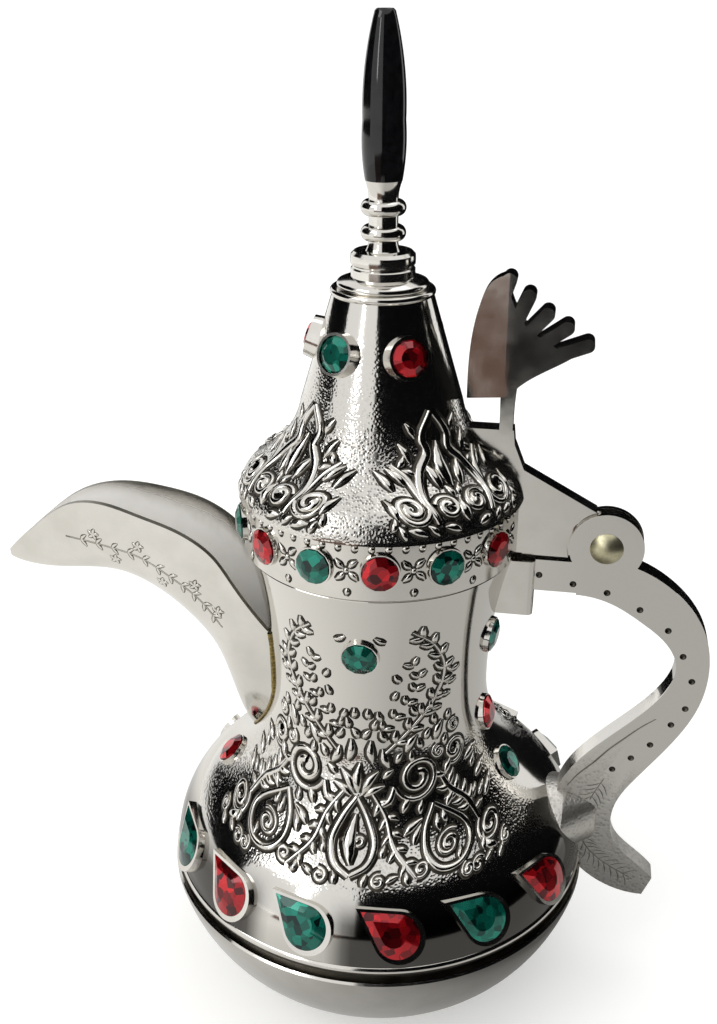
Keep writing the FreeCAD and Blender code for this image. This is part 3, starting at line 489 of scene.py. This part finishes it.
# %% Helper for cast pieces
def cast_copy(name, node, edge_mm, angle=30, flat=True):
    """A copy of a solid with merged corners and filed edges."""
    piece = bpy.data.objects.new(name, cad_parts[node].data.copy())
    piece.data.name = name
    bpy.context.scene.collection.objects.link(piece)
    only(piece)
    if piece.data.has_custom_normals:
        bpy.ops.mesh.customdata_custom_splitnormals_clear()
    bpy.ops.object.mode_set(mode="EDIT")
    bpy.ops.mesh.select_all(action="SELECT")
    bpy.ops.mesh.remove_doubles(threshold=2e-6)
    if flat:
        bpy.ops.mesh.dissolve_limited(angle_limit=math.radians(0.05))
    bpy.ops.object.mode_set(mode="OBJECT")
    if edge_mm:
        filed = piece.modifiers.new("filed", "BEVEL")
        filed.width = edge_mm * MM
        filed.segments = 2
        filed.limit_method = "ANGLE"
        filed.angle_limit = math.radians(40)
        bpy.ops.object.modifier_apply(modifier=filed.name)
    bpy.ops.object.shade_smooth_by_angle(angle=math.radians(angle))
    return flat_faces(piece)


# %% Spout
spout = settle(cast_copy("beak_spout", "spout", 0.0, 30, False), "pot", "silver_plate", SILVER, "spout")
spout.data.materials.append(PICKLED)
spout.data.materials.append(ENGRAVED)
tops = {}
for corner in spout.data.vertices:
    row = math.floor(corner.co.x / MM)
    tops[row] = max(tops.get(row, 0), corner.co.z / MM)


def below_rim(place):
    """How deep a place of the spout lies under its rim, in millimetres."""
    row = math.floor(place.x / MM - 0.5)
    share = place.x / MM - 0.5 - row
    low = tops.get(row, tops.get(row + 1))
    high = tops.get(row + 1, low)
    return low + (high - low) * share - place.z / MM


BRIGHT_STRIP = 2.6
RIM, INSIDE = 2, 1
paint = spout.data.attributes.new("matted", "FLOAT", "POINT")
for corner, value in zip(spout.data.vertices, paint.data):
    strip = BRIGHT_STRIP * fade(corner.co.x / MM, -68, -44)
    value.value = fade(below_rim(corner.co), strip - 1.5, strip + 2.5)
# Faces along the top of the rim take the darker engraved finish: a painted line of shade along the rim.
for face in spout.data.polygons:
    inward = face.normal.y if face.center.y < 0 else -face.normal.y
    if below_rim(face.center) < 1.4 and abs(inward) < 0.4 and face.normal.z > 0.3:
        face.material_index = RIM
    elif inward > 0.15 or (inward > -0.15 and face.normal.z > 0.2):
        face.material_index = INSIDE

# %% Handle and hinge
handle = settle(cast_copy("handle_strap", "handle", 0.35), "pot", "silver_plate", GRAINED, "handle")
settle(cast_copy("neck_block", "handle_bracket", 0.2), "pot", "silver_plate", SILVER, "handle_bracket")
pad = cast_copy("leaf_pad", "handle_escutcheon", 0.2)
settle(pad, "pot", "silver_plate", GRAINED, "handle_escutcheon")
painted(pad, "matted", lambda angle, z: 1.0)
settle(cast_copy("hinge_rivet", "hinge_pin", 0.15), "pot", "pin_brass", BRASS, "hinge_pin")
settle(cast_copy("lid_web", "lid_arm", 0.3), "lid", "silver_plate", SILVER, "lid_arm")
settle(cast_copy("thumb_hand", "thumb_crest", 0.35), "lid", "silver_plate", SILVER, "thumb_crest")
settle(cast_copy("lid_flange_hoop", "lid_flange", 0.15), "lid", "silver_plate", SILVER, "lid_flange")

# %% Collets
for name, body in (("teardrop", "pot"), ("neck", "pot"), ("band", "lid"), ("crown", "lid")):
    ring = cast_copy(name + "_settings", name + "_collets", 0.0, 30, False)
    settle(ring, body, "silver_plate", SILVER, name + "_collets")

# %% Parts out of sight keep their solids
for node in ("finial_stud", "finial_washer", "finial_nut"):
    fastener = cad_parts[node]
    fastener.data.materials.clear()
    fastener.data.materials.append(STEEL)
    print(fastener.name, STEEL.name)

# %% Stones
for name in ("teardrop", "neck", "band", "crown"):
    for colour, glass in (("red", RED_GLASS), ("green", GREEN_GLASS)):
        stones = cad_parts[f"{name}_stones_{colour}"]
        stones.data.materials.clear()
        stones.data.materials.append(glass)
        print(stones.name, glass.name)


# %% [markdown]
# ## Chased ornament
# The smith raises scrolls, leaves and buds from behind and then chases their edges from the front. We draw
# them flat, as on tracing paper, in millimetres: across the pattern and up along the outline. Every line is
# a stroke whose thickness swells and tapers, so a short fat stroke is a leaf and a long thin one a stem.
# All strokes of a pattern share one bevelled curve, which becomes a mesh and is then laid on the metal.
# A second, flatter and wider copy of each pattern is the dark polish that stays in the corners.


# %% Helpers for drawing
CURL_POINTS = 40


def smooth(points, count):
    """That many points on a smooth line through the drawn points."""
    line = [Vector(p) for p in points]
    line = [2 * line[0] - line[1]] + line + [2 * line[-1] - line[-2]]
    found = []
    for k in range(count):
        place = k / (count - 1) * (len(points) - 1)
        i = min(int(place), len(points) - 2)
        s = place - i
        a, b, c, d = line[i:i + 4]
        found.append(0.5 * (2 * b + (c - a) * s + (2 * a - 5 * b + 4 * c - d) * s * s
                            + (3 * b - a - 3 * c + d) * s * s * s))
    return found


def stem(points, thick, count=26):
    """A stroke that tapers towards both ends."""
    line = smooth(points, count)
    waves = [math.sin(math.pi * (0.12 + 0.76 * k / (count - 1))) for k in range(count)]
    return [(line, [thick * (0.35 + 0.65 * wave) for wave in waves])]


def leaf(x, y, heading, length, thick):
    """A short fat stroke, pointed at both ends and slightly bent."""
    way = Vector((math.cos(math.radians(heading)), math.sin(math.radians(heading))))
    bend = Vector((-way.y, way.x)) * length * 0.08
    root = Vector((x, y))
    line = smooth([root, root + way * length / 2 + bend, root + way * length], 6)
    return [(line, [thick * s for s in (0.12, 0.75, 1.0, 0.9, 0.5, 0.05)])]


def pearl(x, y, thick):
    """A stroke so short that it is a bead."""
    line = [Vector((x + thick * s, y)) for s in (-0.95, -0.6, 0, 0.6, 0.95)]
    return [(line, [thick * s for s in (0.2, 0.75, 1.0, 0.75, 0.2)])]


def curl(x, y, radius, start, turns, thick):
    """A spiral that winds inwards from its start angle and ends in a bud."""
    line, swell = [], []
    for k in range(CURL_POINTS):
        share = k / (CURL_POINTS - 1)
        angle = math.radians(start) + math.tau * turns * share
        reach = radius * (1 - 0.78 * share)
        line.append(Vector((x + reach * math.cos(angle), y + reach * math.sin(angle))))
        swell.append(thick * (0.6 + 0.6 * share ** 2))
    return [(line, swell)]


def fronds(points, length, thick, count):
    """Pairs of leaves along a line, leaning forwards."""
    line = smooth(points, count + 2)
    strokes = []
    for before, here, after in zip(line, line[1:], line[2:]):
        ahead = math.degrees(math.atan2(after.y - before.y, after.x - before.x))
        for lean in (-48, 48):
            strokes += leaf(here.x, here.y, ahead + lean, length, thick)
    return strokes


def filling(strokes, rows, half, gap, seed):
    """Small leaves and curls where a drawing leaves room, between two heights and in a half width."""
    dice = random.Random(seed)
    taken = [p for line, _ in strokes for p in line]
    found = []
    for k in range(round((rows[1] - rows[0]) / (gap * 0.86))):
        y = rows[0] + k * gap * 0.86
        for i in range(round(half(y) / gap) + 1):
            spot = Vector((gap * (i + 0.5 * (k % 2)), y))
            spot += Vector((dice.uniform(-0.5, 0.5), dice.uniform(-0.5, 0.5)))
            room = min((spot - p).length for p in taken)
            if spot.x < 0.8 or room < 1.25:
                continue
            lean = dice.uniform(20, 130)
            if room > 2.4:
                found += curl(spot.x, spot.y, 1.5, lean, 1.3, 0.46)
            else:
                way = Vector((math.cos(math.radians(lean)), math.sin(math.radians(lean))))
                root = spot - 1.3 * way
                found += leaf(root.x, root.y, lean, 2.7, 0.62)
    return found


def mirrored(strokes):
    """The strokes and their image across the pattern's middle line."""
    return strokes + [([Vector((-p.x, p.y)) for p in line], swell) for line, swell in strokes]


# %% Helpers for laying a drawing on the metal
def raised(name, strokes, flatten, spread):
    """A mesh of the drawn strokes, still flat, with x across, y along and z up, in millimetres."""
    bpy.ops.object.select_all(action="DESELECT")
    bpy.ops.curve.primitive_nurbs_path_add()
    piece = bpy.context.object
    piece.name = name
    drawing = piece.data
    drawing.splines.clear()
    drawing.dimensions = "3D"
    drawing.bevel_depth = 1.0
    drawing.bevel_resolution = 1
    for line, swell in strokes:
        spline = drawing.splines.new("POLY")
        spline.points.add(len(line) - 1)
        for point, place, thick in zip(spline.points, line, swell):
            point.co = (place.x, place.y, 0, 1)
            point.radius = thick + spread
    bpy.ops.object.convert(target="MESH")
    piece.data.name = name
    for corner in piece.data.vertices:
        corner.co.z *= flatten
    bpy.ops.object.shade_smooth()
    return piece


def measured(outline):
    """The outline as (length so far, radius, height)."""
    table, run = [], 0.0
    for before, here in zip([outline[0]] + outline, outline):
        run += math.dist(before, here)
        table.append((run, *here))
    return table


def laid_round(piece, outline, turn):
    """Lay a flat drawing on a turned surface, with its middle line at that angle from the front."""
    table = measured(outline)
    for corner in piece.data.vertices:
        across, along, lift = corner.co
        along = min(max(along, 0.01), table[-1][0] - 0.01)
        k = next(i for i, row in enumerate(table) if row[0] > along)
        (l0, r0, z0), (l1, r1, z1) = table[k - 1], table[k]
        share = (along - l0) / (l1 - l0)
        radius, height = r0 + (r1 - r0) * share, z0 + (z1 - z0) * share
        out, up = (z1 - z0) / (l1 - l0), (r0 - r1) / (l1 - l0)
        angle = math.radians(turn) + across / radius
        reach = radius + out * lift
        place = Vector((reach * math.sin(angle), -reach * math.cos(angle), height + up * lift))
        corner.co = place * MM
    return piece


# %% [markdown]
# ## The belly's medallion
# Front and back carry the same pattern: a bud in a pear-shaped frame at the foot, a paisley on either side,
# large and small curls above them, and two leafy branches that rise on either side of the green stone.
# One half is drawn and mirrored, as a chaser does with tracing paper.

# %% Belly medallion
RELIEF = (0.7, 0.12)
PATINA = (0.1, 0.6)
branch = [(4.5, 43), (10, 48.5), (15.2, 55), (17.6, 62), (15, 69), (10.5, 73)]
sweep = [(2.4, 36), (6.2, 30.5), (8.6, 24), (13.6, 18)]
pear = [(0.1, 18.2), (3.4, 20.6), (4.5, 25), (2.7, 30), (0.15, 34.2)]
paisley = [(16.2, 32), (14.8, 27.2), (15.6, 22.2), (19, 19), (23.4, 19.4), (25.6, 23), (23.8, 27.2),
           (16.2, 32)]
medallion = stem(pear, 0.8) + leaf(1, 35, 58, 5.6, 0.95) + leaf(1.4, 34.4, 30, 4.6, 0.8)
medallion += stem(sweep, 0.62) + fronds(sweep, 2.9, 0.62, 5) + curl(14.6, 19.6, 1.7, -110, 1.2, 0.5)
medallion += curl(12.2, 38, 4.9, 200, 1.7, 0.8) + stem([(7.4, 36.4), (6.6, 33.6), (4.6, 32.4)], 0.7)
medallion += stem(paisley, 0.66, 40) + curl(20.3, 23.6, 2.7, 60, 1.6, 0.55)
medallion += leaf(18.2, 26.4, 108, 3.6, 0.7)
medallion += curl(31, 24, 3.4, 150, 1.6, 0.7) + stem([(28, 26), (24.6, 30.6), (20, 34), (17, 38)], 0.7)
medallion += fronds([(27, 27.5), (24, 31), (20, 34.4), (17.6, 40)], 3.4, 0.72, 5)
medallion += curl(20.8, 41.6, 2.9, 250, 1.5, 0.6) + leaf(24, 38, 30, 4.4, 0.9)
medallion += leaf(27.5, 33.5, 40, 4.2, 0.9)
medallion += leaf(10.4, 26.5, 40, 4.6, 0.95) + leaf(9.6, 31, 66, 3.6, 0.8) + leaf(12.6, 24.4, 74, 4.2, 0.8)
medallion += leaf(30.4, 29, 60, 4.2, 0.85) + leaf(33, 19.4, 150, 5, 0.85) + leaf(29.6, 19.6, 100, 3.4, 0.7)
medallion += leaf(6, 40.5, 110, 4.4, 0.85) + leaf(2.6, 41.5, 96, 5, 0.85) + leaf(9.4, 43.6, 60, 4.4, 0.85)
medallion += leaf(15.8, 45, 70, 4.6, 0.85) + leaf(19.4, 30.6, 62, 3.6, 0.8)
medallion += stem(branch, 0.26) + fronds(branch, 3.1, 0.66, 9)
medallion += fronds([(p[0] + 2.6, p[1] + 1.5) for p in branch[1:4]], 2.4, 0.5, 4)
medallion += fronds([(2.5, 46.5), (6.2, 51), (10.4, 56.5), (11.8, 62), (8.6, 67.5)], 2.3, 0.5, 6)
medallion += leaf(4.2, 51, 110, 2.6, 0.55) + leaf(6.6, 56, 70, 2.4, 0.5) + leaf(8, 60.4, 120, 2.4, 0.5)
medallion += leaf(5.2, 70.6, 150, 2.6, 0.5)
medallion += filling(medallion, (18, 55), lambda y: 35 - 0.55 * (y - 18), 3.1, 7)
medallion = mirrored(medallion) + leaf(0, 20.4, 90, 10.5, 1.6) + leaf(0, 35, 90, 6.4, 1.1)
for name, turn in (("front", 0), ("back", 180)):
    piece = laid_round(raised("medallion_" + name, medallion, *RELIEF), BODY, turn)
    settle(piece, "pot", "silver_plate", SILVER)
    piece = laid_round(raised("patina_" + name, medallion, *PATINA), BODY, turn)
    settle(piece, "pot", "silver_plate", OXIDISED)

# %% [markdown]
# ## The lid's palmettes
# Four pointed palmettes stand round the brow of the lid. Each is an ogee arch over a bud, with a pair of
# curls inside its foot, a larger pair outside, and small leaves in the gaps.

# %% Lid palmettes
arch = [(6.4, 3.5), (7.2, 9), (5.4, 14.5), (2.6, 18), (2.9, 21.2), (0.2, 25.6)]
palmette = stem(arch, 1.0) + curl(3.3, 6.4, 2.6, 20, 1.5, 0.8)
palmette += curl(10.6, 6.8, 3.3, 190, 1.6, 0.9) + stem([(7.6, 8), (8.2, 13), (10.4, 16.2)], 0.8)
palmette += leaf(2.4, 10.4, 74, 6, 1.1) + leaf(9, 12, 55, 4.6, 0.9) + leaf(12, 11, 66, 4.6, 0.9)
palmette += leaf(14, 5, 80, 4.4, 0.9) + leaf(9.4, 1.6, 20, 3.6, 0.8) + leaf(2.4, 1.6, 20, 3.4, 0.8)
palmette += leaf(6.4, 16.4, 70, 4.2, 0.8) + leaf(4.4, 21, 64, 3.4, 0.7)
palmette += filling(palmette, (2, 19), lambda y: 15.5 - 0.25 * y, 2.8, 3)
palmette = mirrored(palmette) + leaf(0, 10.5, 90, 9.5, 1.5) + leaf(0, 3, 90, 5, 1.1)
for k in range(4):
    piece = laid_round(raised(f"palmette_{k + 1}", palmette, *RELIEF), LID, 45 + 90 * k)
    settle(piece, "lid", "silver_plate", SILVER)
    piece = laid_round(raised(f"palmette_patina_{k + 1}", palmette, *PATINA), LID, 45 + 90 * k)
    settle(piece, "lid", "silver_plate", OXIDISED)


# %% [markdown]
# ## The hoop
# Between the stones of the lid's hoop sits a small four-petal flower, and a row of punched beads runs along
# its upper edge. There are fourteen gaps between the stones, and the lid's arm stands in one of them.

# %% Hoop flowers and beads
HOOP_RADIUS = 28.5
HOOP = [(HOOP_RADIUS, 103.8), (HOOP_RADIUS, 115.8)]
GAPS = 14
FIRST_STONE = 8.8
ARM_FROM, ARM_TO = 80, 100
MIDDLE = 6.4
pitch = math.tau * HOOP_RADIUS / GAPS
flower = pearl(0, MIDDLE, 0.6)
for across, along, heading in ((0.5, 0.5, 45), (-0.5, 0.5, 135), (-0.5, -0.5, 225), (0.5, -0.5, 315)):
    flower += leaf(across, MIDDLE + along, heading, 2.4, 0.55)
beads = flower + leaf(0, 2.6, -90, 1.7, 0.5)
for k in range(4):
    beads += pearl((k - 1.5) * pitch / 4, 11.1, 0.72)
for k in range(GAPS):
    turn = FIRST_STONE + (k + 0.5) * 360 / GAPS
    if ARM_FROM < turn < ARM_TO:
        continue
    piece = laid_round(raised(f"hoop_flower_{k + 1}", beads, 0.7, 0.08), HOOP, turn)
    settle(piece, "lid", "silver_plate", SILVER)
    piece = laid_round(raised(f"hoop_patina_{k + 1}", beads, 0.1, 0.42), HOOP, turn)
    settle(piece, "lid", "silver_plate", OXIDISED)


# %% [markdown]
# ## Engraving on the spout and the handle
# Both sides of the spout carry an engraved spray of small leaves and florets, and the handle's lower end is
# cut like a leaf. These sides are nearly flat, so the drawing is held beside the piece and pressed straight
# onto it: a ray from each point finds the metal.


# %% Helper for pressing a drawing onto a side
def pressed(piece, target, side):
    """Lay a flat drawing, whose x and y are the pot's x and z, on the near (-1) or far (1) side."""
    for corner in piece.data.vertices:
        x, z, lift = corner.co
        start = Vector((x * MM, side * 0.2, z * MM))
        found, place, normal, _ = target.ray_cast(start, Vector((0, -side, 0)))
        corner.co = place + normal * lift * MM if found else Vector((x, side * 1.5, z)) * MM
    return piece


# %% Spout spray
twig = [(-69, 100.2), (-60, 99.4), (-51, 98), (-44, 94), (-38, 89.6), (-33, 83.5)]
spray = stem(twig, 0.1) + fronds(twig, 2.1, 0.4, 11)
for x, z in ((-62, 101.8), (-57.5, 96), (-51.2, 100.8), (-46.6, 92.2), (-38.7, 93.2), (-33.8, 87.4)):
    spray += pearl(x, z, 0.36)
    for heading in range(0, 360, 72):
        spray += leaf(x, z, heading, 1.5, 0.42)
for name, side in (("near", -1), ("far", 1)):
    piece = pressed(raised("spray_" + name, spray, 0.3, 0.0), spout, side)
    settle(piece, "pot", "silver_plate", SILVER)
    piece = pressed(raised("spray_patina_" + name, spray, 0.08, 0.16), spout, side)
    settle(piece, "pot", "silver_plate", ENGRAVED)

# %% [markdown]
# ## Punched dots and a leaf tail
# A round punch left a row of dots along each side of the handle. We join small spheres into one cutter
# and take them out of the strap. The dark polish stays in the pits, so the cutter lends its dark finish.

# %% Punched dots
DOTS = [(33.4, 99.2), (40.4, 97.7), (47.4, 96.3), (54.3, 93), (60.4, 88.7), (64, 82.9),
        (66.4, 77.1), (65.8, 70.3), (63.3, 66), (59.5, 60.4), (55.8, 56.5), (52.1, 53.1)]
DOT_RADIUS = 0.8
STRAP_HALF = 2.75
spheres = []
for x, z in DOTS:
    for side in (-1, 1):
        bpy.ops.mesh.primitive_uv_sphere_add(
            segments=16, ring_count=10, radius=DOT_RADIUS * MM,
            location=(x * MM, side * STRAP_HALF * MM, z * MM))
        spheres.append(bpy.context.object)
bpy.ops.object.select_all(action="DESELECT")
for sphere in spheres:
    sphere.select_set(True)
bpy.ops.object.join()
punch = bpy.context.object
punch.data.materials.append(OXIDISED)
cut_with(handle, punch)
only(handle)
bpy.ops.object.shade_smooth_by_angle(angle=math.radians(30))
flat_faces(handle)
painted(handle, "matted", lambda angle, z: fade(z, 56, 48))
print("dots punched:", 2 * len(DOTS), "finishes on the handle:", len(handle.data.materials))

# %% Engraved line and leaf veins
groove = [(60.1, 67.1), (57, 64.5), (53.7, 61.1), (50.8, 58), (48, 54.4), (44.9, 50.9), (42.8, 47.6)]
midrib = [(50.6, 50.5), (48.4, 45.5), (46.6, 40), (46.2, 35.5), (48.4, 31), (52.4, 27.4), (58.4, 24)]
veins = stem(groove, 0.2) + stem(midrib, 0.13) + fronds(midrib, 3.8, 0.13, 22)
for name, side in (("near", -1), ("far", 1)):
    piece = pressed(raised("veins_" + name, veins, 0.2, 0.0), handle, side)
    settle(piece, "pot", "silver_plate", ENGRAVED)

# %% [markdown]
# ## Golden solder
# The spout is soldered to the neck, and the plating is thin there, so a golden line shows along the joint.
# We pick the spout's corners that lie on the neck and thread a fine wire through them.

# %% Solder line
NECK = measured(BODY)


def neck_radius(z):
    """The radius of belly and neck at a height, in millimetres."""
    k = next(i for i, row in enumerate(NECK) if row[2] > z)
    (_, r0, z0), (_, r1, z1) = NECK[k - 1], NECK[k]
    return r0 + (r1 - r0) * (z - z0) / (z1 - z0)


for name, side in (("near", -1), ("far", 1)):
    rows = {}
    for corner in spout.data.vertices:
        x, y, z = corner.co / MM
        if y * side > 0 and 50 < z < 103 and abs(math.hypot(x, y) - neck_radius(z)) < 0.3:
            row = round(z / 2.5)
            if row not in rows or abs(y) > abs(rows[row].y):
                rows[row] = Vector((x, y, z))
    line = [rows[row] for row in sorted(rows)]
    print("solder points", name, len(line))
    bpy.ops.object.select_all(action="DESELECT")
    bpy.ops.curve.primitive_nurbs_path_add()
    wire = bpy.context.object
    wire.name = "solder_" + name
    wire.data.splines.clear()
    wire.data.bevel_depth = 0.5 * MM
    wire.data.bevel_resolution = 2
    spline = wire.data.splines.new("POLY")
    spline.points.add(len(line) - 1)
    for point, place in zip(spline.points, line):
        point.co = (*(place * MM), 1)
    bpy.ops.object.convert(target="MESH")
    bpy.ops.object.shade_smooth()
    settle(wire, "pot", "silver_plate", SOLDER)


# %% [markdown]
# ## Floor, flags and light
# Polished silver in a white room would look like white paper. A photographer stands black cards, called
# flags, beside the camera, and the metal draws its shape with their dark reflections. Mats on the floor do
# the same for metal that looks down, and two glowing cards under the pot, dimmer to the right, paint the
# floor's shade. All these cards are hidden from the camera and from soft light, so they show only in the
# metal. The floor is a white paper that glows a little to the camera and in the metal, so that it stays as
# bright as the world around it.


# %% Floor
def looked_at(tree):
    """A socket that is 1 for rays of the camera, of mirrors and of glass, and 0 for soft light."""
    rays = add(tree, "ShaderNodeLightPath", {}, {})
    seen = add(tree, "ShaderNodeMath", {"operation": "MAXIMUM"}, {
        0: rays.outputs["Is Camera Ray"], 1: rays.outputs["Is Glossy Ray"]})
    seen = add(tree, "ShaderNodeMath", {"operation": "MAXIMUM"}, {
        0: seen.outputs[0], 1: rays.outputs["Is Transmission Ray"]})
    return seen.outputs[0]


FLOOR_GLOW = 0.3
bpy.ops.object.select_all(action="DESELECT")
bpy.ops.mesh.primitive_plane_add(size=30, location=(0, 0, 0))
floor = bpy.context.object
floor.name = "floor"
paper, tree, output, _ = new_material("paper_white")
lift = add(tree, "ShaderNodeMath", {"operation": "MULTIPLY"}, {0: looked_at(tree), 1: FLOOR_GLOW})
matt = add(tree, "ShaderNodeBsdfPrincipled", {}, {
    "Base Color": linear("#E6E6E4"), "Roughness": 0.9, "Emission Color": (1, 1, 1, 1),
    "Emission Strength": lift.outputs[0]})
tree.links.new(matt.outputs["BSDF"], output.inputs["Surface"])
floor.data.materials.append(paper)
print("floor of", paper.name)

# %% World
world = bpy.data.worlds.new("studio")
bpy.context.scene.world = world
world.use_nodes = True
tree = world.node_tree
tree.nodes.clear()
level = add(tree, "ShaderNodeMapRange", {}, {"Value": looked_at(tree), "To Min": 0.95, "To Max": 1.0})
sky = add(tree, "ShaderNodeBackground", {}, {"Color": (1, 1, 1, 1), "Strength": level.outputs["Result"]})
add(tree, "ShaderNodeOutputWorld", {}, {"Surface": sky.outputs["Background"]})
print("white studio ready")


# %% Flags
def dull_card(name, code):
    """Stuff without shine: felt that was pressed, or wood that was left raw."""
    material, tree, output, _ = new_material(name)
    matt = add(tree, "ShaderNodeBsdfPrincipled", {}, {
        "Base Color": linear(code), "Roughness": 1.0, "Specular IOR Level": 0.0})
    tree.links.new(matt.outputs["BSDF"], output.inputs["Surface"])
    return material


BLACK = dull_card("felt_black", "#0B0B0C")
BROWN = dull_card("wood_brown", "#5E483E")
FLAG_DISTANCE = 0.75


def only_in_metal(card, material):
    """Give a card its colour and let only mirror reflections see it."""
    card.data.materials.append(material)
    card.visible_camera = False
    card.visible_diffuse = False
    card.visible_shadow = False
    card.visible_transmission = False


def flag(name, start, end, low, high):
    """A curved black card from one angle to another, measured from the front towards the handle."""
    steps = max(2, round((end - start) / 6))
    points = []
    for k in range(steps + 1):
        turn = math.radians(start + (end - start) * k / steps)
        points.append((FLAG_DISTANCE * math.sin(turn), -FLAG_DISTANCE * math.cos(turn), low))
    card = drawn_line(name, points)
    bpy.ops.mesh.select_all(action="SELECT")
    bpy.ops.mesh.extrude_region_move(TRANSFORM_OT_translate={"value": (0, 0, high - low)})
    bpy.ops.object.mode_set(mode="OBJECT")
    only_in_metal(card, BLACK)
    print(name, steps, "steps")


flag("flag_right", -2, 124, 0.0, 0.9)
flag("flag_back", 140, 208, 0.0, 0.75)
flag("flag_left", 228, 292, 0.12, 0.9)


# %% Mats on the floor
MAT_STEPS = 24


def toned_paper(name, left, right, bright, dim):
    """A card that glows less from left to right, between two places in metres: painted shade of the floor
    beside the pot.
    """
    material, tree, output, place = new_material(name)
    across = add(tree, "ShaderNodeSeparateXYZ", {}, {"Vector": place}).outputs["X"]
    level = add(tree, "ShaderNodeMapRange", {}, {
        "Value": across, "From Min": left, "From Max": right, "To Min": bright, "To Max": dim})
    glow = add(tree, "ShaderNodeEmission", {}, {
        "Color": linear("#FFFEFB"), "Strength": level.outputs["Result"]})
    tree.links.new(glow.outputs["Emission"], output.inputs["Surface"])
    return material


def floor_mat(name, material, start, end, near, far, height=0.002):
    """A flat sector of a ring on the floor."""
    edge = []
    for k in range(MAT_STEPS + 1):
        turn = math.radians(start + (end - start) * k / MAT_STEPS)
        edge.append((near * math.sin(turn), -near * math.cos(turn), height))
    mat = drawn_line(name, edge)
    bpy.ops.mesh.select_all(action="SELECT")
    bpy.ops.mesh.extrude_region_move(TRANSFORM_OT_translate={"value": (0, 0, 0)})
    bpy.ops.transform.resize(value=(far / near, far / near, 1), center_override=(0, 0, height))
    bpy.ops.object.mode_set(mode="OBJECT")
    only_in_metal(mat, material)
    print(name, material.name)


floor_mat("mat_front", BLACK, -8, 14, 0.37, 0.8)
floor_mat("mat_right", BLACK, 14, 118, 0.27, 0.8)
floor_mat("mat_back", BLACK, 118, 205, 0.16, 0.8)
floor_mat("mat_left", BROWN, -42, -8, 0.34, 0.75)
# These two cards glow, and their dimmer right side paints the pot's shadow on the floor where the metal
# mirrors it.
FOOT_PAPER = toned_paper("paper_foot", -0.04, 0.055, 0.66, 0.1)
FLOOR_PAPER = toned_paper("paper_floor", -0.12, 0.05, 1.0, 0.56)
floor_mat("paper_foot", FOOT_PAPER, 0, 360, 0.03, 0.078, 0.001)
floor_mat("paper_floor", FLOOR_PAPER, 0, 360, 0.078, 0.6, 0.001)


# %% Lamps
def lamp(name, place, aim, size, power):
    """A square area lamp that looks at a point."""
    bpy.ops.object.light_add(type="AREA", location=place)
    light = bpy.context.object
    light.name = name
    light.data.size = size
    light.data.energy = power
    light.rotation_euler = (Vector(aim) - Vector(place)).to_track_quat("-Z", "Y").to_euler()
    print(name, power, "W")
    return light.data


lamp("window", (-0.7, -0.5, 0.9), (0, 0, 0.1), 0.5, 2.2)
lamp("top", (0.2, 0.3, 1.1), (0, 0, 0.1), 0.6, 1.2)
strip = lamp("strip", (-0.4, -0.64, 0.42), (0, 0, 0.19), 0.07, 0.5)
strip.shape = "RECTANGLE"
strip.size_y = 0.34

# %% Finish
bpy.context.scene.view_settings.view_transform = "Standard"
